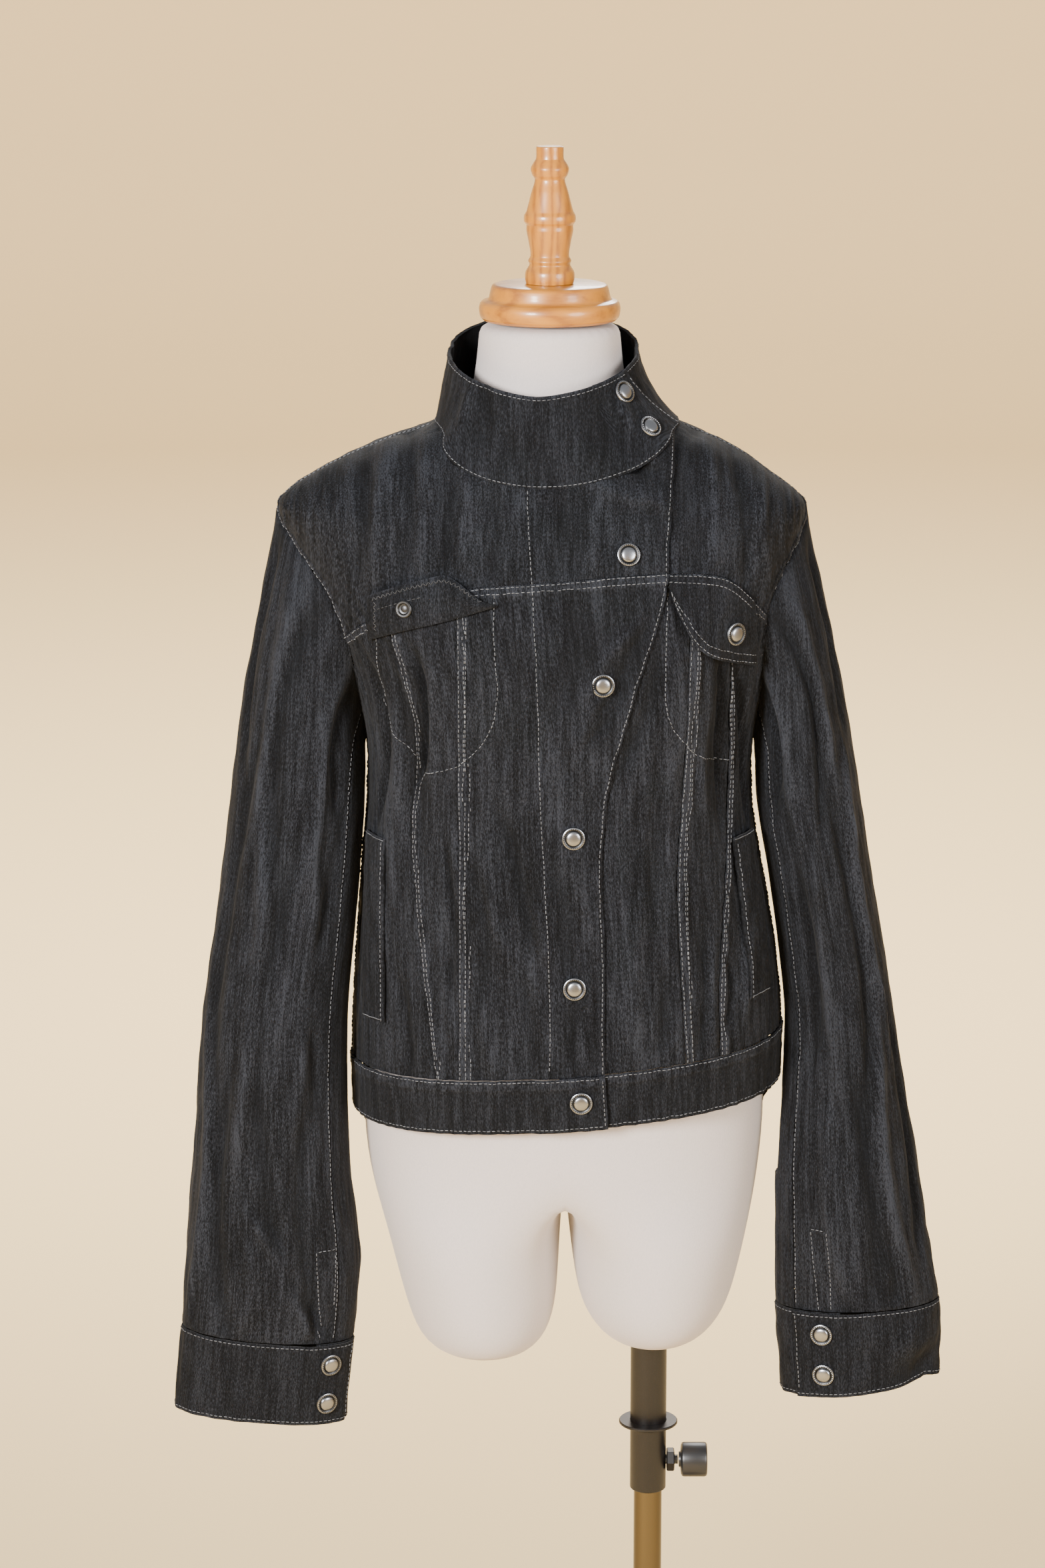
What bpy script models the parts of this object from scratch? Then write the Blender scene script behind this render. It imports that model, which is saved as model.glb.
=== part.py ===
# A denim jacket on a limbless dress form, standing on a pole and a round base.
# Metres, +Z up. The origin is the middle of the base's underside, on the pole's axis.
# Right and left are the wearer's: the right side lies at -X, the front faces -Y.

import math
from collections import namedtuple

import bpy
from mathutils import Vector

# ---------------------------------------------------------------- driving sizes

SEAM_GAP = 0.0003          # space between two pieces along a seam
CLOTH_WALL = 0.0015        # one layer of denim with its turnings
BAND_WALL = 0.0022         # doubled denim: waistband, cuffs, collar
BAND_RISE = 0.0006         # how far a band's face stands over the cloth beside it
OVERLAP_RISE = 0.0030      # how far the right front lies over the left one
OVERLAP_WIDTH = 0.036      # cloth of the left front hidden under the right one
BOXINESS = 0.16            # how much flatter the body's front is than an ellipse

HEM_HEIGHT = 0.888
WAIST_SEAM = 0.930
BACK_DROOP = 0.062         # the hem hangs lower behind the side seams
DROOP_ENDS = 1.12
HEM_TILT = 0.012           # the hem rises towards the left side
NECK_FRONT = 1.3625        # neck seam at the front
NECK_RISE = 0.038          # and how much higher it is at the sides
NECK_SPREAD = math.radians(40)
ARM_BOTTOM = 1.165         # armhole
ARM_TOP = 1.338
ARM_TURN_FRONT = math.radians(24)
ARM_TURN_BACK = math.radians(20)
BACK_YOKE = 1.290

SNAP_RADIUS = 0.0085
SNAP_HEIGHT = 0.0034
SNAP_SIDES = 12

BASE_RADIUS = 0.180
BASE_THICK = 0.010
POLE_RADIUS = 0.011
POLE_TOP = 0.800
TUBE_RADIUS = 0.014
TUBE_BORE = 0.01115
TUBE_BOTTOM = 0.560
TUBE_TOP = 0.980
CLAMP_HEIGHT = 0.583
RING_HEIGHT = 0.615
NECK_X = -0.078            # axis of the form's neck, its cap and its finial

BodyRow = namedtuple("BodyRow", "height half front back centre")
BODY = (
    BodyRow(0.885, 0.1625, 0.118, 0.112, -0.0640),
    BodyRow(0.930, 0.1630, 0.120, 0.114, -0.0645),
    BodyRow(0.980, 0.1600, 0.118, 0.112, -0.0655),
    BodyRow(1.030, 0.1545, 0.115, 0.108, -0.0672),
    BodyRow(1.080, 0.1485, 0.113, 0.104, -0.0695),
    BodyRow(1.120, 0.1440, 0.112, 0.102, -0.0705),
    BodyRow(1.165, 0.1450, 0.114, 0.103, -0.0700),
    BodyRow(1.215, 0.1560, 0.117, 0.106, -0.0710),
    BodyRow(1.250, 0.1680, 0.116, 0.108, -0.0745),
    BodyRow(1.285, 0.1790, 0.110, 0.108, -0.0780),
    BodyRow(1.315, 0.1900, 0.102, 0.105, -0.0810),
    BodyRow(1.338, 0.1955, 0.094, 0.101, -0.0835),
    BodyRow(1.350, 0.1860, 0.089, 0.097, -0.0840),
    BodyRow(1.362, 0.1680, 0.0845, 0.092, -0.0830),
    BodyRow(1.375, 0.1470, 0.079, 0.086, -0.0790),
    BodyRow(1.388, 0.1190, 0.0725, 0.080, -0.0755),
    BodyRow(1.398, 0.0930, 0.066, 0.074, -0.0725),
    BodyRow(1.412, 0.0800, 0.056, 0.068, -0.0720),
)

# A seam that runs down the front: where it lies across, at each height.
SeamRow = namedtuple("SeamRow", "height across")
OVERLAP_EDGE = (
    SeamRow(0.885, -0.0345),
    SeamRow(0.930, -0.0375),
    SeamRow(1.024, -0.0380),
    SeamRow(1.093, -0.0400),
    SeamRow(1.146, -0.0350),
    SeamRow(1.217, -0.0160),
    SeamRow(1.286, 0.0050),
    SeamRow(1.330, 0.0085),
    SeamRow(1.404, 0.0140),
)
RIGHT_OUTER_SEAM = (
    SeamRow(0.930, -0.1620),
    SeamRow(0.980, -0.1680),
    SeamRow(1.040, -0.1750),
    SeamRow(1.107, -0.1800),
    SeamRow(1.184, -0.1790),
    SeamRow(1.262, -0.1960),
)
RIGHT_INNER_SEAM = (
    SeamRow(0.930, -0.1450),
    SeamRow(1.138, -0.1450),
    SeamRow(1.280, -0.1460),
)
LEFT_INNER_SEAM = (
    SeamRow(0.930, 0.0230),
    SeamRow(1.001, 0.0185),
    SeamRow(1.073, 0.0155),
    SeamRow(1.145, 0.0185),
    SeamRow(1.295, 0.0250),
)
LEFT_OUTER_SEAM = (
    SeamRow(0.930, 0.0490),
    SeamRow(0.987, 0.0480),
    SeamRow(1.093, 0.0535),
    SeamRow(1.161, 0.0560),
    SeamRow(1.290, 0.0600),
)

# The front yoke's seam: its height, across the chest.
YokeRow = namedtuple("YokeRow", "across height")
YOKE_SEAM = (
    YokeRow(-0.232, 1.244),
    YokeRow(-0.216, 1.260),
    YokeRow(-0.180, 1.281),
    YokeRow(-0.140, 1.292),
    YokeRow(-0.100, 1.296),
    YokeRow(0.006, 1.302),
    YokeRow(0.046, 1.298),
    YokeRow(0.062, 1.287),
    YokeRow(0.092, 1.251),
)

# Large folds of the body: turn and height of the middle in degrees and metres,
# half reach each way, and depth in metres, outward above zero.
FoldRow = namedtuple("FoldRow", "turn height turn_reach height_reach depth")
BODY_FOLDS = (
    FoldRow(-48, 1.170, 7, 0.070, -0.0045),
    FoldRow(-58, 1.120, 8, 0.090, 0.0040),
    FoldRow(34, 1.180, 8, 0.060, 0.0035),
    FoldRow(54, 1.180, 7, 0.070, -0.0050),
    FoldRow(12, 1.240, 9, 0.050, -0.0030),
    FoldRow(150, 1.060, 10, 0.090, 0.0040),
    FoldRow(200, 1.100, 10, 0.100, -0.0040),
    FoldRow(228, 1.060, 9, 0.080, 0.0035),
)

# Sleeves: x of the inner and outer edge, y of the front and back, at each height.
SleeveRow = namedtuple("SleeveRow", "height inner outer front back")
RIGHT_SLEEVE = (
    SleeveRow(0.640, -0.2340, -0.3655, -0.074, -0.016),
    SleeveRow(0.704, -0.2270, -0.3590, -0.078, -0.010),
    SleeveRow(0.760, -0.2230, -0.3550, -0.082, -0.002),
    SleeveRow(0.840, -0.2290, -0.3480, -0.082, 0.008),
    SleeveRow(0.950, -0.2300, -0.3400, -0.080, 0.020),
    SleeveRow(1.040, -0.2220, -0.3270, -0.072, 0.032),
    SleeveRow(1.120, -0.2160, -0.3170, -0.064, 0.044),
    SleeveRow(1.200, -0.2160, -0.3070, -0.060, 0.052),
    SleeveRow(1.270, -0.2200, -0.2965, -0.056, 0.056),
    SleeveRow(1.345, -0.2260, -0.2860, -0.050, 0.056),
)
LEFT_SLEEVE = (
    SleeveRow(0.660, 0.1010, 0.2225, -0.068, -0.008),
    SleeveRow(0.725, 0.0960, 0.2210, -0.070, 0.000),
    SleeveRow(0.789, 0.0950, 0.2100, -0.070, 0.010),
    SleeveRow(0.840, 0.0950, 0.2020, -0.066, 0.024),
    SleeveRow(0.888, 0.0985, 0.1940, -0.060, 0.036),
    SleeveRow(0.944, 0.1015, 0.1850, -0.056, 0.044),
    SleeveRow(1.000, 0.0960, 0.1760, -0.054, 0.050),
    SleeveRow(1.056, 0.0880, 0.1660, -0.054, 0.054),
    SleeveRow(1.120, 0.0780, 0.1560, -0.054, 0.058),
    SleeveRow(1.220, 0.0780, 0.1395, -0.052, 0.060),
    SleeveRow(1.285, 0.0720, 0.1285, -0.052, 0.060),
    SleeveRow(1.345, 0.0620, 0.1170, -0.048, 0.058),
)
SLEEVE_LEVEL = 1.085       # from here down the sleeve's rings lie level
SLEEVE_CLEAR = 0.0024      # least space between a sleeve and the body beside it

# Dress form: the trunk, then each thigh stump, from the crotch down.
FormRow = namedtuple("FormRow", "height half front back centre")
FORM_TRUNK = (
    FormRow(0.826, 0.1505, 0.098, 0.092, -0.0665),
    FormRow(0.880, 0.1550, 0.102, 0.098, -0.0665),
    FormRow(0.940, 0.1500, 0.102, 0.099, -0.0665),
    FormRow(1.010, 0.1380, 0.098, 0.092, -0.0670),
    FormRow(1.090, 0.1220, 0.094, 0.084, -0.0680),
    FormRow(1.170, 0.1260, 0.097, 0.086, -0.0700),
    FormRow(1.240, 0.1380, 0.099, 0.090, -0.0740),
    FormRow(1.300, 0.1480, 0.092, 0.090, -0.0770),
    FormRow(1.335, 0.1360, 0.079, 0.082, -0.0780),
    FormRow(1.362, 0.1060, 0.068, 0.073, -0.0780),
    FormRow(1.386, 0.0740, 0.058, 0.062, -0.0780),
    FormRow(1.420, 0.0560, 0.053, 0.055, -0.0780),
    FormRow(1.474, 0.0520, 0.051, 0.051, -0.0780),
)
StumpRow = namedtuple("StumpRow", "height inner outer front back")
RIGHT_STUMP = (
    StumpRow(0.784, -0.0680, -0.2040, -0.096, 0.090),
    StumpRow(0.738, -0.0700, -0.1930, -0.090, 0.082),
    StumpRow(0.708, -0.0730, -0.1840, -0.084, 0.074),
    StumpRow(0.690, -0.0830, -0.1730, -0.070, 0.060),
    StumpRow(0.681, -0.1020, -0.1480, -0.038, 0.028),
)
LEFT_STUMP = (
    StumpRow(0.784, -0.0640, 0.0765, -0.096, 0.090),
    StumpRow(0.742, -0.0590, 0.0670, -0.090, 0.082),
    StumpRow(0.716, -0.0530, 0.0590, -0.084, 0.074),
    StumpRow(0.698, -0.0400, 0.0440, -0.068, 0.058),
    StumpRow(0.689, -0.0240, 0.0240, -0.036, 0.028),
)

# Turned pieces: radius at each height, from the bottom up.
TurnRow = namedtuple("TurnRow", "height radius")
CAP_PROFILE = (
    TurnRow(1.4745, 0.0485),
    TurnRow(1.4765, 0.0508),
    TurnRow(1.4840, 0.0520),
    TurnRow(1.4885, 0.0500),
    TurnRow(1.4905, 0.0450),
    TurnRow(1.4940, 0.0440),
    TurnRow(1.4985, 0.0430),
    TurnRow(1.5010, 0.0405),
)
FINIAL_PROFILE = (
    TurnRow(1.5013, 0.0175),
    TurnRow(1.5050, 0.0182),
    TurnRow(1.5100, 0.0178),
    TurnRow(1.5150, 0.0150),
    TurnRow(1.5180, 0.0158),
    TurnRow(1.5215, 0.0142),
    TurnRow(1.5300, 0.0152),
    TurnRow(1.5400, 0.0172),
    TurnRow(1.5440, 0.0172),
    TurnRow(1.5465, 0.0188),
    TurnRow(1.5510, 0.0188),
    TurnRow(1.5540, 0.0172),
    TurnRow(1.5680, 0.0135),
    TurnRow(1.5770, 0.0110),
    TurnRow(1.5800, 0.0128),
    TurnRow(1.5850, 0.0140),
    TurnRow(1.5895, 0.0118),
    TurnRow(1.5920, 0.0102),
    TurnRow(1.6010, 0.0100),
)
BASE_PROFILE = (
    TurnRow(0.0000, 0.1780),
    TurnRow(0.0020, BASE_RADIUS),
    TurnRow(0.0070, BASE_RADIUS),
    TurnRow(BASE_THICK, 0.1760),
    TurnRow(0.0120, 0.0400),
    TurnRow(0.0180, 0.0300),
    TurnRow(0.0340, 0.0280),
    TurnRow(0.0360, 0.0260),
)

Finish = namedtuple("Finish", "colour roughness metallic")
FINISHES = {
    "denim": Finish((0.028, 0.029, 0.034), 0.85, 0.0),
    "snap_metal": Finish((0.42, 0.41, 0.39), 0.30, 1.0),
    "jersey": Finish((0.72, 0.70, 0.66), 0.85, 0.0),
    "wood": Finish((0.62, 0.38, 0.17), 0.35, 0.0),
    "brown_steel": Finish((0.045, 0.035, 0.032), 0.45, 0.3),
    "brass": Finish((0.62, 0.47, 0.20), 0.20, 1.0),
    "zinc": Finish((0.55, 0.55, 0.56), 0.35, 1.0),
    "black_plastic": Finish((0.02, 0.02, 0.02), 0.40, 0.0),
}

# ---------------------------------------------------------------- small helpers


def ease(value):
    value = min(1.0, max(0.0, value))
    return value * value * (3.0 - 2.0 * value)


def mix(first, second, share):
    return first + (second - first) * share


def read_table(table, key, column, value):
    # Smooth curve through one column of a table, level at both ends.
    keys = [getattr(row, key) for row in table]
    values = [getattr(row, column) for row in table]
    if keys[0] > keys[-1]:
        keys.reverse()
        values.reverse()
    if value <= keys[0]:
        return values[0]
    if value >= keys[-1]:
        return values[-1]
    index = 0
    while keys[index + 1] < value:
        index += 1
    span = keys[index + 1] - keys[index]
    share = (value - keys[index]) / span
    slopes = []
    for here in (index, index + 1):
        before = max(here - 1, 0)
        after = min(here + 1, len(keys) - 1)
        slopes.append((values[after] - values[before]) / (keys[after] - keys[before]) * span)
    square = share * share
    cube = square * share
    return (
        (2 * cube - 3 * square + 1) * values[index]
        + (cube - 2 * square + share) * slopes[0]
        + (3 * square - 2 * cube) * values[index + 1]
        + (cube - square) * slopes[1]
    )


def clear_scene():
    for item in list(bpy.data.objects):
        bpy.data.objects.remove(item, do_unlink=True)


def material(name):
    found = bpy.data.materials.get(name)
    if found:
        return found
    finish = FINISHES[name]
    made = bpy.data.materials.new(name)
    made.use_nodes = True
    shader = made.node_tree.nodes["Principled BSDF"]
    shader.inputs["Base Color"].default_value = (*finish.colour, 1.0)
    shader.inputs["Roughness"].default_value = finish.roughness
    shader.inputs["Metallic"].default_value = finish.metallic
    return made


def add_object(name, points, faces, finish, smooth=True):
    mesh = bpy.data.meshes.new(name)
    mesh.from_pydata([tuple(point) for point in points], [], faces)
    mesh.validate()
    if smooth:
        mesh.shade_smooth()
        mesh.set_sharp_from_angle(angle=math.radians(40))
    item = bpy.data.objects.new(name, mesh)
    item.data.materials.append(material(finish))
    bpy.context.scene.collection.objects.link(item)
    return item


def add_shell(name, outer, inner, finish, flip=False):
    # A sheet of cloth with a wall: outer and inner are equal grids of points.
    rows = len(outer)
    columns = len(outer[0])
    count = rows * columns
    points = [point for row in outer for point in row]
    points += [point for row in inner for point in row]
    faces = []
    for row in range(rows - 1):
        for column in range(columns - 1):
            a = row * columns + column
            b = a + 1
            c = b + columns
            d = a + columns
            faces += [(a, b, c), (a, c, d)]
            faces += [(a + count, c + count, b + count), (a + count, d + count, c + count)]
    rim = [column for column in range(columns)]
    rim += [row * columns + columns - 1 for row in range(1, rows)]
    rim += [(rows - 1) * columns + column for column in range(columns - 2, -1, -1)]
    rim += [row * columns for row in range(rows - 2, 0, -1)]
    for step, here in enumerate(rim):
        there = rim[(step + 1) % len(rim)]
        faces += [(here, here + count, there + count), (here, there + count, there)]
    if flip:
        faces = [tuple(reversed(face)) for face in faces]
    return add_object(name, points, faces, finish)


def add_turned(name, profile, centre, finish, sides=24, bore=None):
    # A lathe piece about a vertical axis; bore is (radius, bottom) of a blind hole in the top.
    rings = [(row.height, row.radius) for row in profile]
    if bore:
        rings += [(profile[-1].height, bore[0]), (bore[1], bore[0])]
    points = []
    for height, radius in rings:
        for side in range(sides):
            turn = 2 * math.pi * side / sides
            points.append((centre + radius * math.cos(turn), radius * math.sin(turn), height))
    faces = []
    for ring in range(len(rings) - 1):
        for side in range(sides):
            after = (side + 1) % sides
            a = ring * sides
            faces.append((a + side, a + after, a + sides + after, a + sides + side))
    faces.append(tuple(range(sides - 1, -1, -1)))
    last = (len(rings) - 1) * sides
    faces.append(tuple(last + side for side in range(sides)))
    return add_object(name, points, faces, finish)


# ---------------------------------------------------------------- the body's surface
# A place on the body is (turn, height): turn 0 is the front, 90 degrees the left side.


def hem_shift(turn, height):
    fade = 1.0 - ease((height - WAIST_SEAM) / (DROOP_ENDS - WAIST_SEAM))
    side_turn = math.degrees(math.acos(math.cos(turn)))
    droop = BACK_DROOP * ease((side_turn - 90.0) / 36.0)
    return (HEM_TILT * math.sin(turn) - droop) * fade


def fold_depth(turn, height):
    total = 0.0
    degrees = math.degrees(turn)
    for fold in BODY_FOLDS:
        away = (degrees - fold.turn + 180.0) % 360.0 - 180.0
        across = away / fold.turn_reach
        along = (height - fold.height) / fold.height_reach
        total += fold.depth * math.exp(-across * across - along * along)
    return total


def plain_body_point(turn, height):
    half = read_table(BODY, "height", "half", height)
    side = "front" if math.cos(turn) >= 0 else "back"
    depth = read_table(BODY, "height", side, height)
    centre = read_table(BODY, "height", "centre", height)
    sine = math.sin(turn)
    x = centre + half * sine
    y = -depth * math.cos(turn) * (1.0 + BOXINESS * sine * sine)
    return Vector((x, y, height + hem_shift(turn, height)))


def body_normal(turn, height):
    step = 0.004
    across = plain_body_point(turn + step, height) - plain_body_point(turn - step, height)
    up = plain_body_point(turn, height + step) - plain_body_point(turn, height - step)
    return across.cross(up).normalized()


def body_point(turn, height, lift=0.0):
    return plain_body_point(turn, height) + body_normal(turn, height) * (lift + fold_depth(turn, height))


def turn_at(across, height):
    # The front's turn for a place across.
    half = read_table(BODY, "height", "half", height)
    centre = read_table(BODY, "height", "centre", height)
    return math.asin(min(1.0, max(-1.0, (across - centre) / half)))


def arm_turn(height, side, back=False):
    share = min(1.0, max(0.0, (height - ARM_BOTTOM) / (ARM_TOP - ARM_BOTTOM)))
    reach = (ARM_TURN_BACK if back else ARM_TURN_FRONT) * math.sin(math.pi * share ** 1.2)
    quarter = math.pi / 2 + (reach if back else -reach)
    return side * quarter if side > 0 or not back else 2 * math.pi - quarter


def neck_height(turn):
    away = math.acos(math.cos(turn))
    behind = max(0.0, -math.cos(turn))
    return NECK_FRONT + NECK_RISE * (1.0 - math.exp(-((away / NECK_SPREAD) ** 2))) + 0.006 * behind


def crowd(step, count, power):
    # Share of the way along a line whose steps crowd towards its end.
    return 1.0 - (1.0 - step / count) ** power


def seam_line(table, low, high, count, power=1.0):
    line = []
    for step in range(count + 1):
        height = mix(low, high, crowd(step, count, power))
        line.append((turn_at(read_table(table, "height", "across", height), height), height))
    return line


def yoke_height(across):
    return read_table(YOKE_SEAM, "across", "height", across)


def meet_yoke(table):
    # Height where a front seam reaches the yoke.
    height = 1.28
    for _ in range(8):
        height = yoke_height(read_table(table, "height", "across", height))
    return height


def arm_meets_yoke(side, back=False):
    height = BACK_YOKE if back else 1.26
    if back:
        return height
    for _ in range(12):
        across = plain_body_point(arm_turn(height, side), height).x
        height = mix(height, yoke_height(across), 0.5)
    return height


def yoke_line(first, last, count):
    # The yoke seam between two places across.
    line = []
    for step in range(count + 1):
        across = mix(first, last, step / count)
        height = yoke_height(across)
        line.append((turn_at(across, height), height))
    return line


def level_line(first, last, height, count):
    return [(mix(first, last, step / count), height) for step in range(count + 1)]


def side_line(side, low, high, count):
    return [(side * math.pi / 2, mix(low, high, step / count)) for step in range(count + 1)]


def arm_line(side, low, high, count, back=False, power=1.0):
    line = []
    for step in range(count + 1):
        height = mix(low, high, crowd(step, count, power))
        line.append((arm_turn(height, side, back), height))
    return line


def neck_line(first, last):
    # The neck seam, with a point at each whole step between its ends, as the collar has.
    low = min(first, last)
    high = max(first, last)
    number = math.floor(low / NECK_STEP) + 1
    turns = [low]
    while number * NECK_STEP < high - NECK_STEP / 3:
        if number * NECK_STEP > low + NECK_STEP / 3:
            turns.append(number * NECK_STEP)
        number += 1
    turns.append(high)
    if first > last:
        turns.reverse()
    return [(turn, neck_height(turn)) for turn in turns]


def join(*lines):
    whole = list(lines[0])
    for line in lines[1:]:
        whole += line[1:]
    return whole


def patch(bottom, top, start, end, power=1.0):
    # Fills four border lines of (turn, height): start and end run from bottom to top.
    columns = len(bottom) - 1
    rows = len(start) - 1
    grid = []
    for row in range(rows + 1):
        v = crowd(row, rows, power)
        line = []
        for column in range(columns + 1):
            u = column / columns
            place = []
            for axis in (0, 1):
                ruled = mix(bottom[column][axis], top[column][axis], v)
                ruled += mix(start[row][axis], end[row][axis], u)
                corners = mix(mix(bottom[0][axis], bottom[-1][axis], u), mix(top[0][axis], top[-1][axis], u), v)
                place.append(ruled - corners)
            line.append(tuple(place))
        grid.append(line)
    return grid


def pull_in(grid, locate):
    # Draws the border half a seam gap inwards.
    rows = len(grid)
    columns = len(grid[0])
    half_gap = SEAM_GAP / 2

    def nearer(place, inside):
        length = (locate(*place) - locate(*inside)).length
        share = half_gap / max(length, 1e-6)
        return tuple(mix(place[axis], inside[axis], share) for axis in (0, 1))

    moved = [[place for place in row] for row in grid]
    for row in range(rows):
        moved[row][0] = nearer(moved[row][0], moved[row][1])
        moved[row][-1] = nearer(moved[row][-1], moved[row][-2])
    for column in range(columns):
        moved[0][column] = nearer(moved[0][column], moved[1][column])
        moved[-1][column] = nearer(moved[-1][column], moved[-2][column])
    return moved


def overlap_lift(turn, height):
    edge = read_table(OVERLAP_EDGE, "height", "across", height)
    across = plain_body_point(turn, height).x
    return OVERLAP_RISE * ease((across - edge + OVERLAP_WIDTH + 0.022) / 0.016)


def no_lift(turn, height):
    return 0.0


def add_body_panel(name, grid, lift=no_lift, rise=0.0, wall=CLOTH_WALL):
    grid = pull_in(grid, plain_body_point)
    outer = []
    inner = []
    for line in grid:
        outer_row = []
        inner_row = []
        for turn, height in line:
            normal = body_normal(turn, height)
            point = body_point(turn, height, rise + lift(turn, height))
            outer_row.append(point)
            inner_row.append(point - normal * wall)
        outer.append(outer_row)
        inner.append(inner_row)
    return add_shell(name, outer, inner, "denim")


# ---------------------------------------------------------------- the body's pieces

SIDE_ROWS = 6
ARM_ROWS = 3
YOKE_ROWS = 8
YOKE_CROWD = 1.7           # the yokes need their rows where the shoulder turns in
TOP_COLUMNS = 4
NECK_STEP = math.radians(10)
BACK_COLUMNS = 16
UNDER_EDGE = tuple(SeamRow(row.height, row.across - OVERLAP_WIDTH) for row in OVERLAP_EDGE)


def side_seam_and_armhole(side, back=False):
    turn_side = side if not back or side > 0 else -1
    low = side_line(turn_side, WAIST_SEAM, ARM_BOTTOM, SIDE_ROWS)
    if back and side < 0:
        low = [(3 * math.pi / 2, height) for _, height in low]
    return join(low, arm_line(side, ARM_BOTTOM, arm_meets_yoke(side, back), ARM_ROWS, back))


def front_strip(name, first, last, columns, lift=no_lift):
    # A lower front panel between two borders; None stands for the side seam and armhole.
    borders = []
    corners = []
    for table, side in ((first, -1), (last, 1)):
        if table is None:
            borders.append(side_seam_and_armhole(side))
            corners.append(plain_body_point(*borders[-1][-1]).x)
        else:
            top = meet_yoke(table)
            borders.append(seam_line(table, WAIST_SEAM, top, SIDE_ROWS + ARM_ROWS))
            corners.append(read_table(table, "height", "across", top))
    bottom = level_line(borders[0][0][0], borders[1][0][0], WAIST_SEAM, columns)
    top = yoke_line(corners[0], corners[1], columns)
    add_body_panel(name, patch(bottom, top, borders[0], borders[1]), lift)


def front_yoke(name, side, centre_edge, lift):
    # Shoulder seam and neck seam along the top, armhole at one end, front edge at the other.
    meet = arm_meets_yoke(side)
    arm = arm_line(side, meet, ARM_TOP, YOKE_ROWS, False, YOKE_CROWD)
    edge_low = meet_yoke(centre_edge)
    neck_turn = math.radians(62 if side < 0 else 20)
    for _ in range(30):
        across = plain_body_point(neck_turn, neck_height(neck_turn)).x
        wanted = read_table(centre_edge, "height", "across", neck_height(neck_turn))
        neck_turn += (wanted - across) * 4.0
    edge = seam_line(centre_edge, edge_low, neck_height(neck_turn), YOKE_ROWS, YOKE_CROWD)
    shoulder_top = neck_height(side * math.pi / 2)
    shoulder = side_line(side, ARM_TOP, shoulder_top, TOP_COLUMNS)
    neck = neck_line(side * math.pi / 2, neck_turn)
    top = join(shoulder, neck)
    arm_x = plain_body_point(*arm[0]).x
    edge_x = read_table(centre_edge, "height", "across", edge_low)
    bottom = yoke_line(arm_x, edge_x, len(top) - 1)
    if side > 0:
        top.reverse()
        bottom.reverse()
        add_body_panel(name, patch(bottom, top, edge, arm, YOKE_CROWD), lift)
    else:
        add_body_panel(name, patch(bottom, top, arm, edge, YOKE_CROWD), lift)


def add_fronts():
    front_strip("right_front_side", None, RIGHT_OUTER_SEAM, 4)
    front_strip("right_front_middle", RIGHT_OUTER_SEAM, RIGHT_INNER_SEAM, 2)
    front_strip("right_front_centre", RIGHT_INNER_SEAM, OVERLAP_EDGE, 6, overlap_lift)
    front_strip("left_front_centre", UNDER_EDGE, LEFT_INNER_SEAM, 5)
    front_strip("left_front_middle", LEFT_INNER_SEAM, LEFT_OUTER_SEAM, 2)
    front_strip("left_front_side", LEFT_OUTER_SEAM, None, 4)
    front_yoke("right_front_yoke", -1, OVERLAP_EDGE, overlap_lift)
    front_yoke("left_front_yoke", 1, UNDER_EDGE, no_lift)


def add_back():
    first = math.pi / 2
    last = 3 * math.pi / 2
    columns = BACK_COLUMNS
    start = side_seam_and_armhole(1, True)
    end = side_seam_and_armhole(-1, True)
    bottom = level_line(first, last, WAIST_SEAM, columns)
    top = level_line(start[-1][0], end[-1][0], BACK_YOKE, columns)
    add_body_panel("back_panel", patch(bottom, top, start, end))
    start = arm_line(1, BACK_YOKE, ARM_TOP, YOKE_ROWS - 2, True, YOKE_CROWD)
    end = arm_line(-1, BACK_YOKE, ARM_TOP, YOKE_ROWS - 2, True, YOKE_CROWD)
    shoulder = [(first, height) for _, height in side_line(1, ARM_TOP, neck_height(first), TOP_COLUMNS)]
    neck = neck_line(first, last)
    far = [(last, height) for _, height in side_line(1, neck_height(-first), ARM_TOP, TOP_COLUMNS)]
    top = join(shoulder, neck, far)
    bottom = level_line(start[0][0], end[0][0], BACK_YOKE, len(top) - 1)
    add_body_panel("back_yoke", patch(bottom, top, start, end, YOKE_CROWD))


def add_waistband():
    # Right front over left front, and the back between the side seams.
    hem_edge = turn_at(read_table(OVERLAP_EDGE, "height", "across", HEM_HEIGHT), HEM_HEIGHT)
    waist_edge = turn_at(read_table(OVERLAP_EDGE, "height", "across", WAIST_SEAM), WAIST_SEAM)
    under = math.asin(OVERLAP_WIDTH / 0.163)
    quarter = math.pi / 2
    pieces = (
        ("waistband_right", -quarter, hem_edge, waist_edge, 9, overlap_lift),
        ("waistband_left", hem_edge - under, quarter, quarter, 9, no_lift),
        ("waistband_back", quarter, 3 * quarter, 3 * quarter, BACK_COLUMNS, no_lift),
    )
    for name, first, last_hem, last_waist, columns, lift in pieces:
        bottom = level_line(first, last_hem, HEM_HEIGHT, columns)
        top = level_line(first, last_waist, WAIST_SEAM, columns)
        start = [(first, mix(HEM_HEIGHT, WAIST_SEAM, row / 2)) for row in range(3)]
        end = [(mix(last_hem, last_waist, row / 2), mix(HEM_HEIGHT, WAIST_SEAM, row / 2)) for row in range(3)]
        rise = BAND_RISE if name != "waistband_right" else BAND_RISE * 2
        add_body_panel(name, patch(bottom, top, start, end), lift, rise, BAND_WALL)


# ---------------------------------------------------------------- collar

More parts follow.
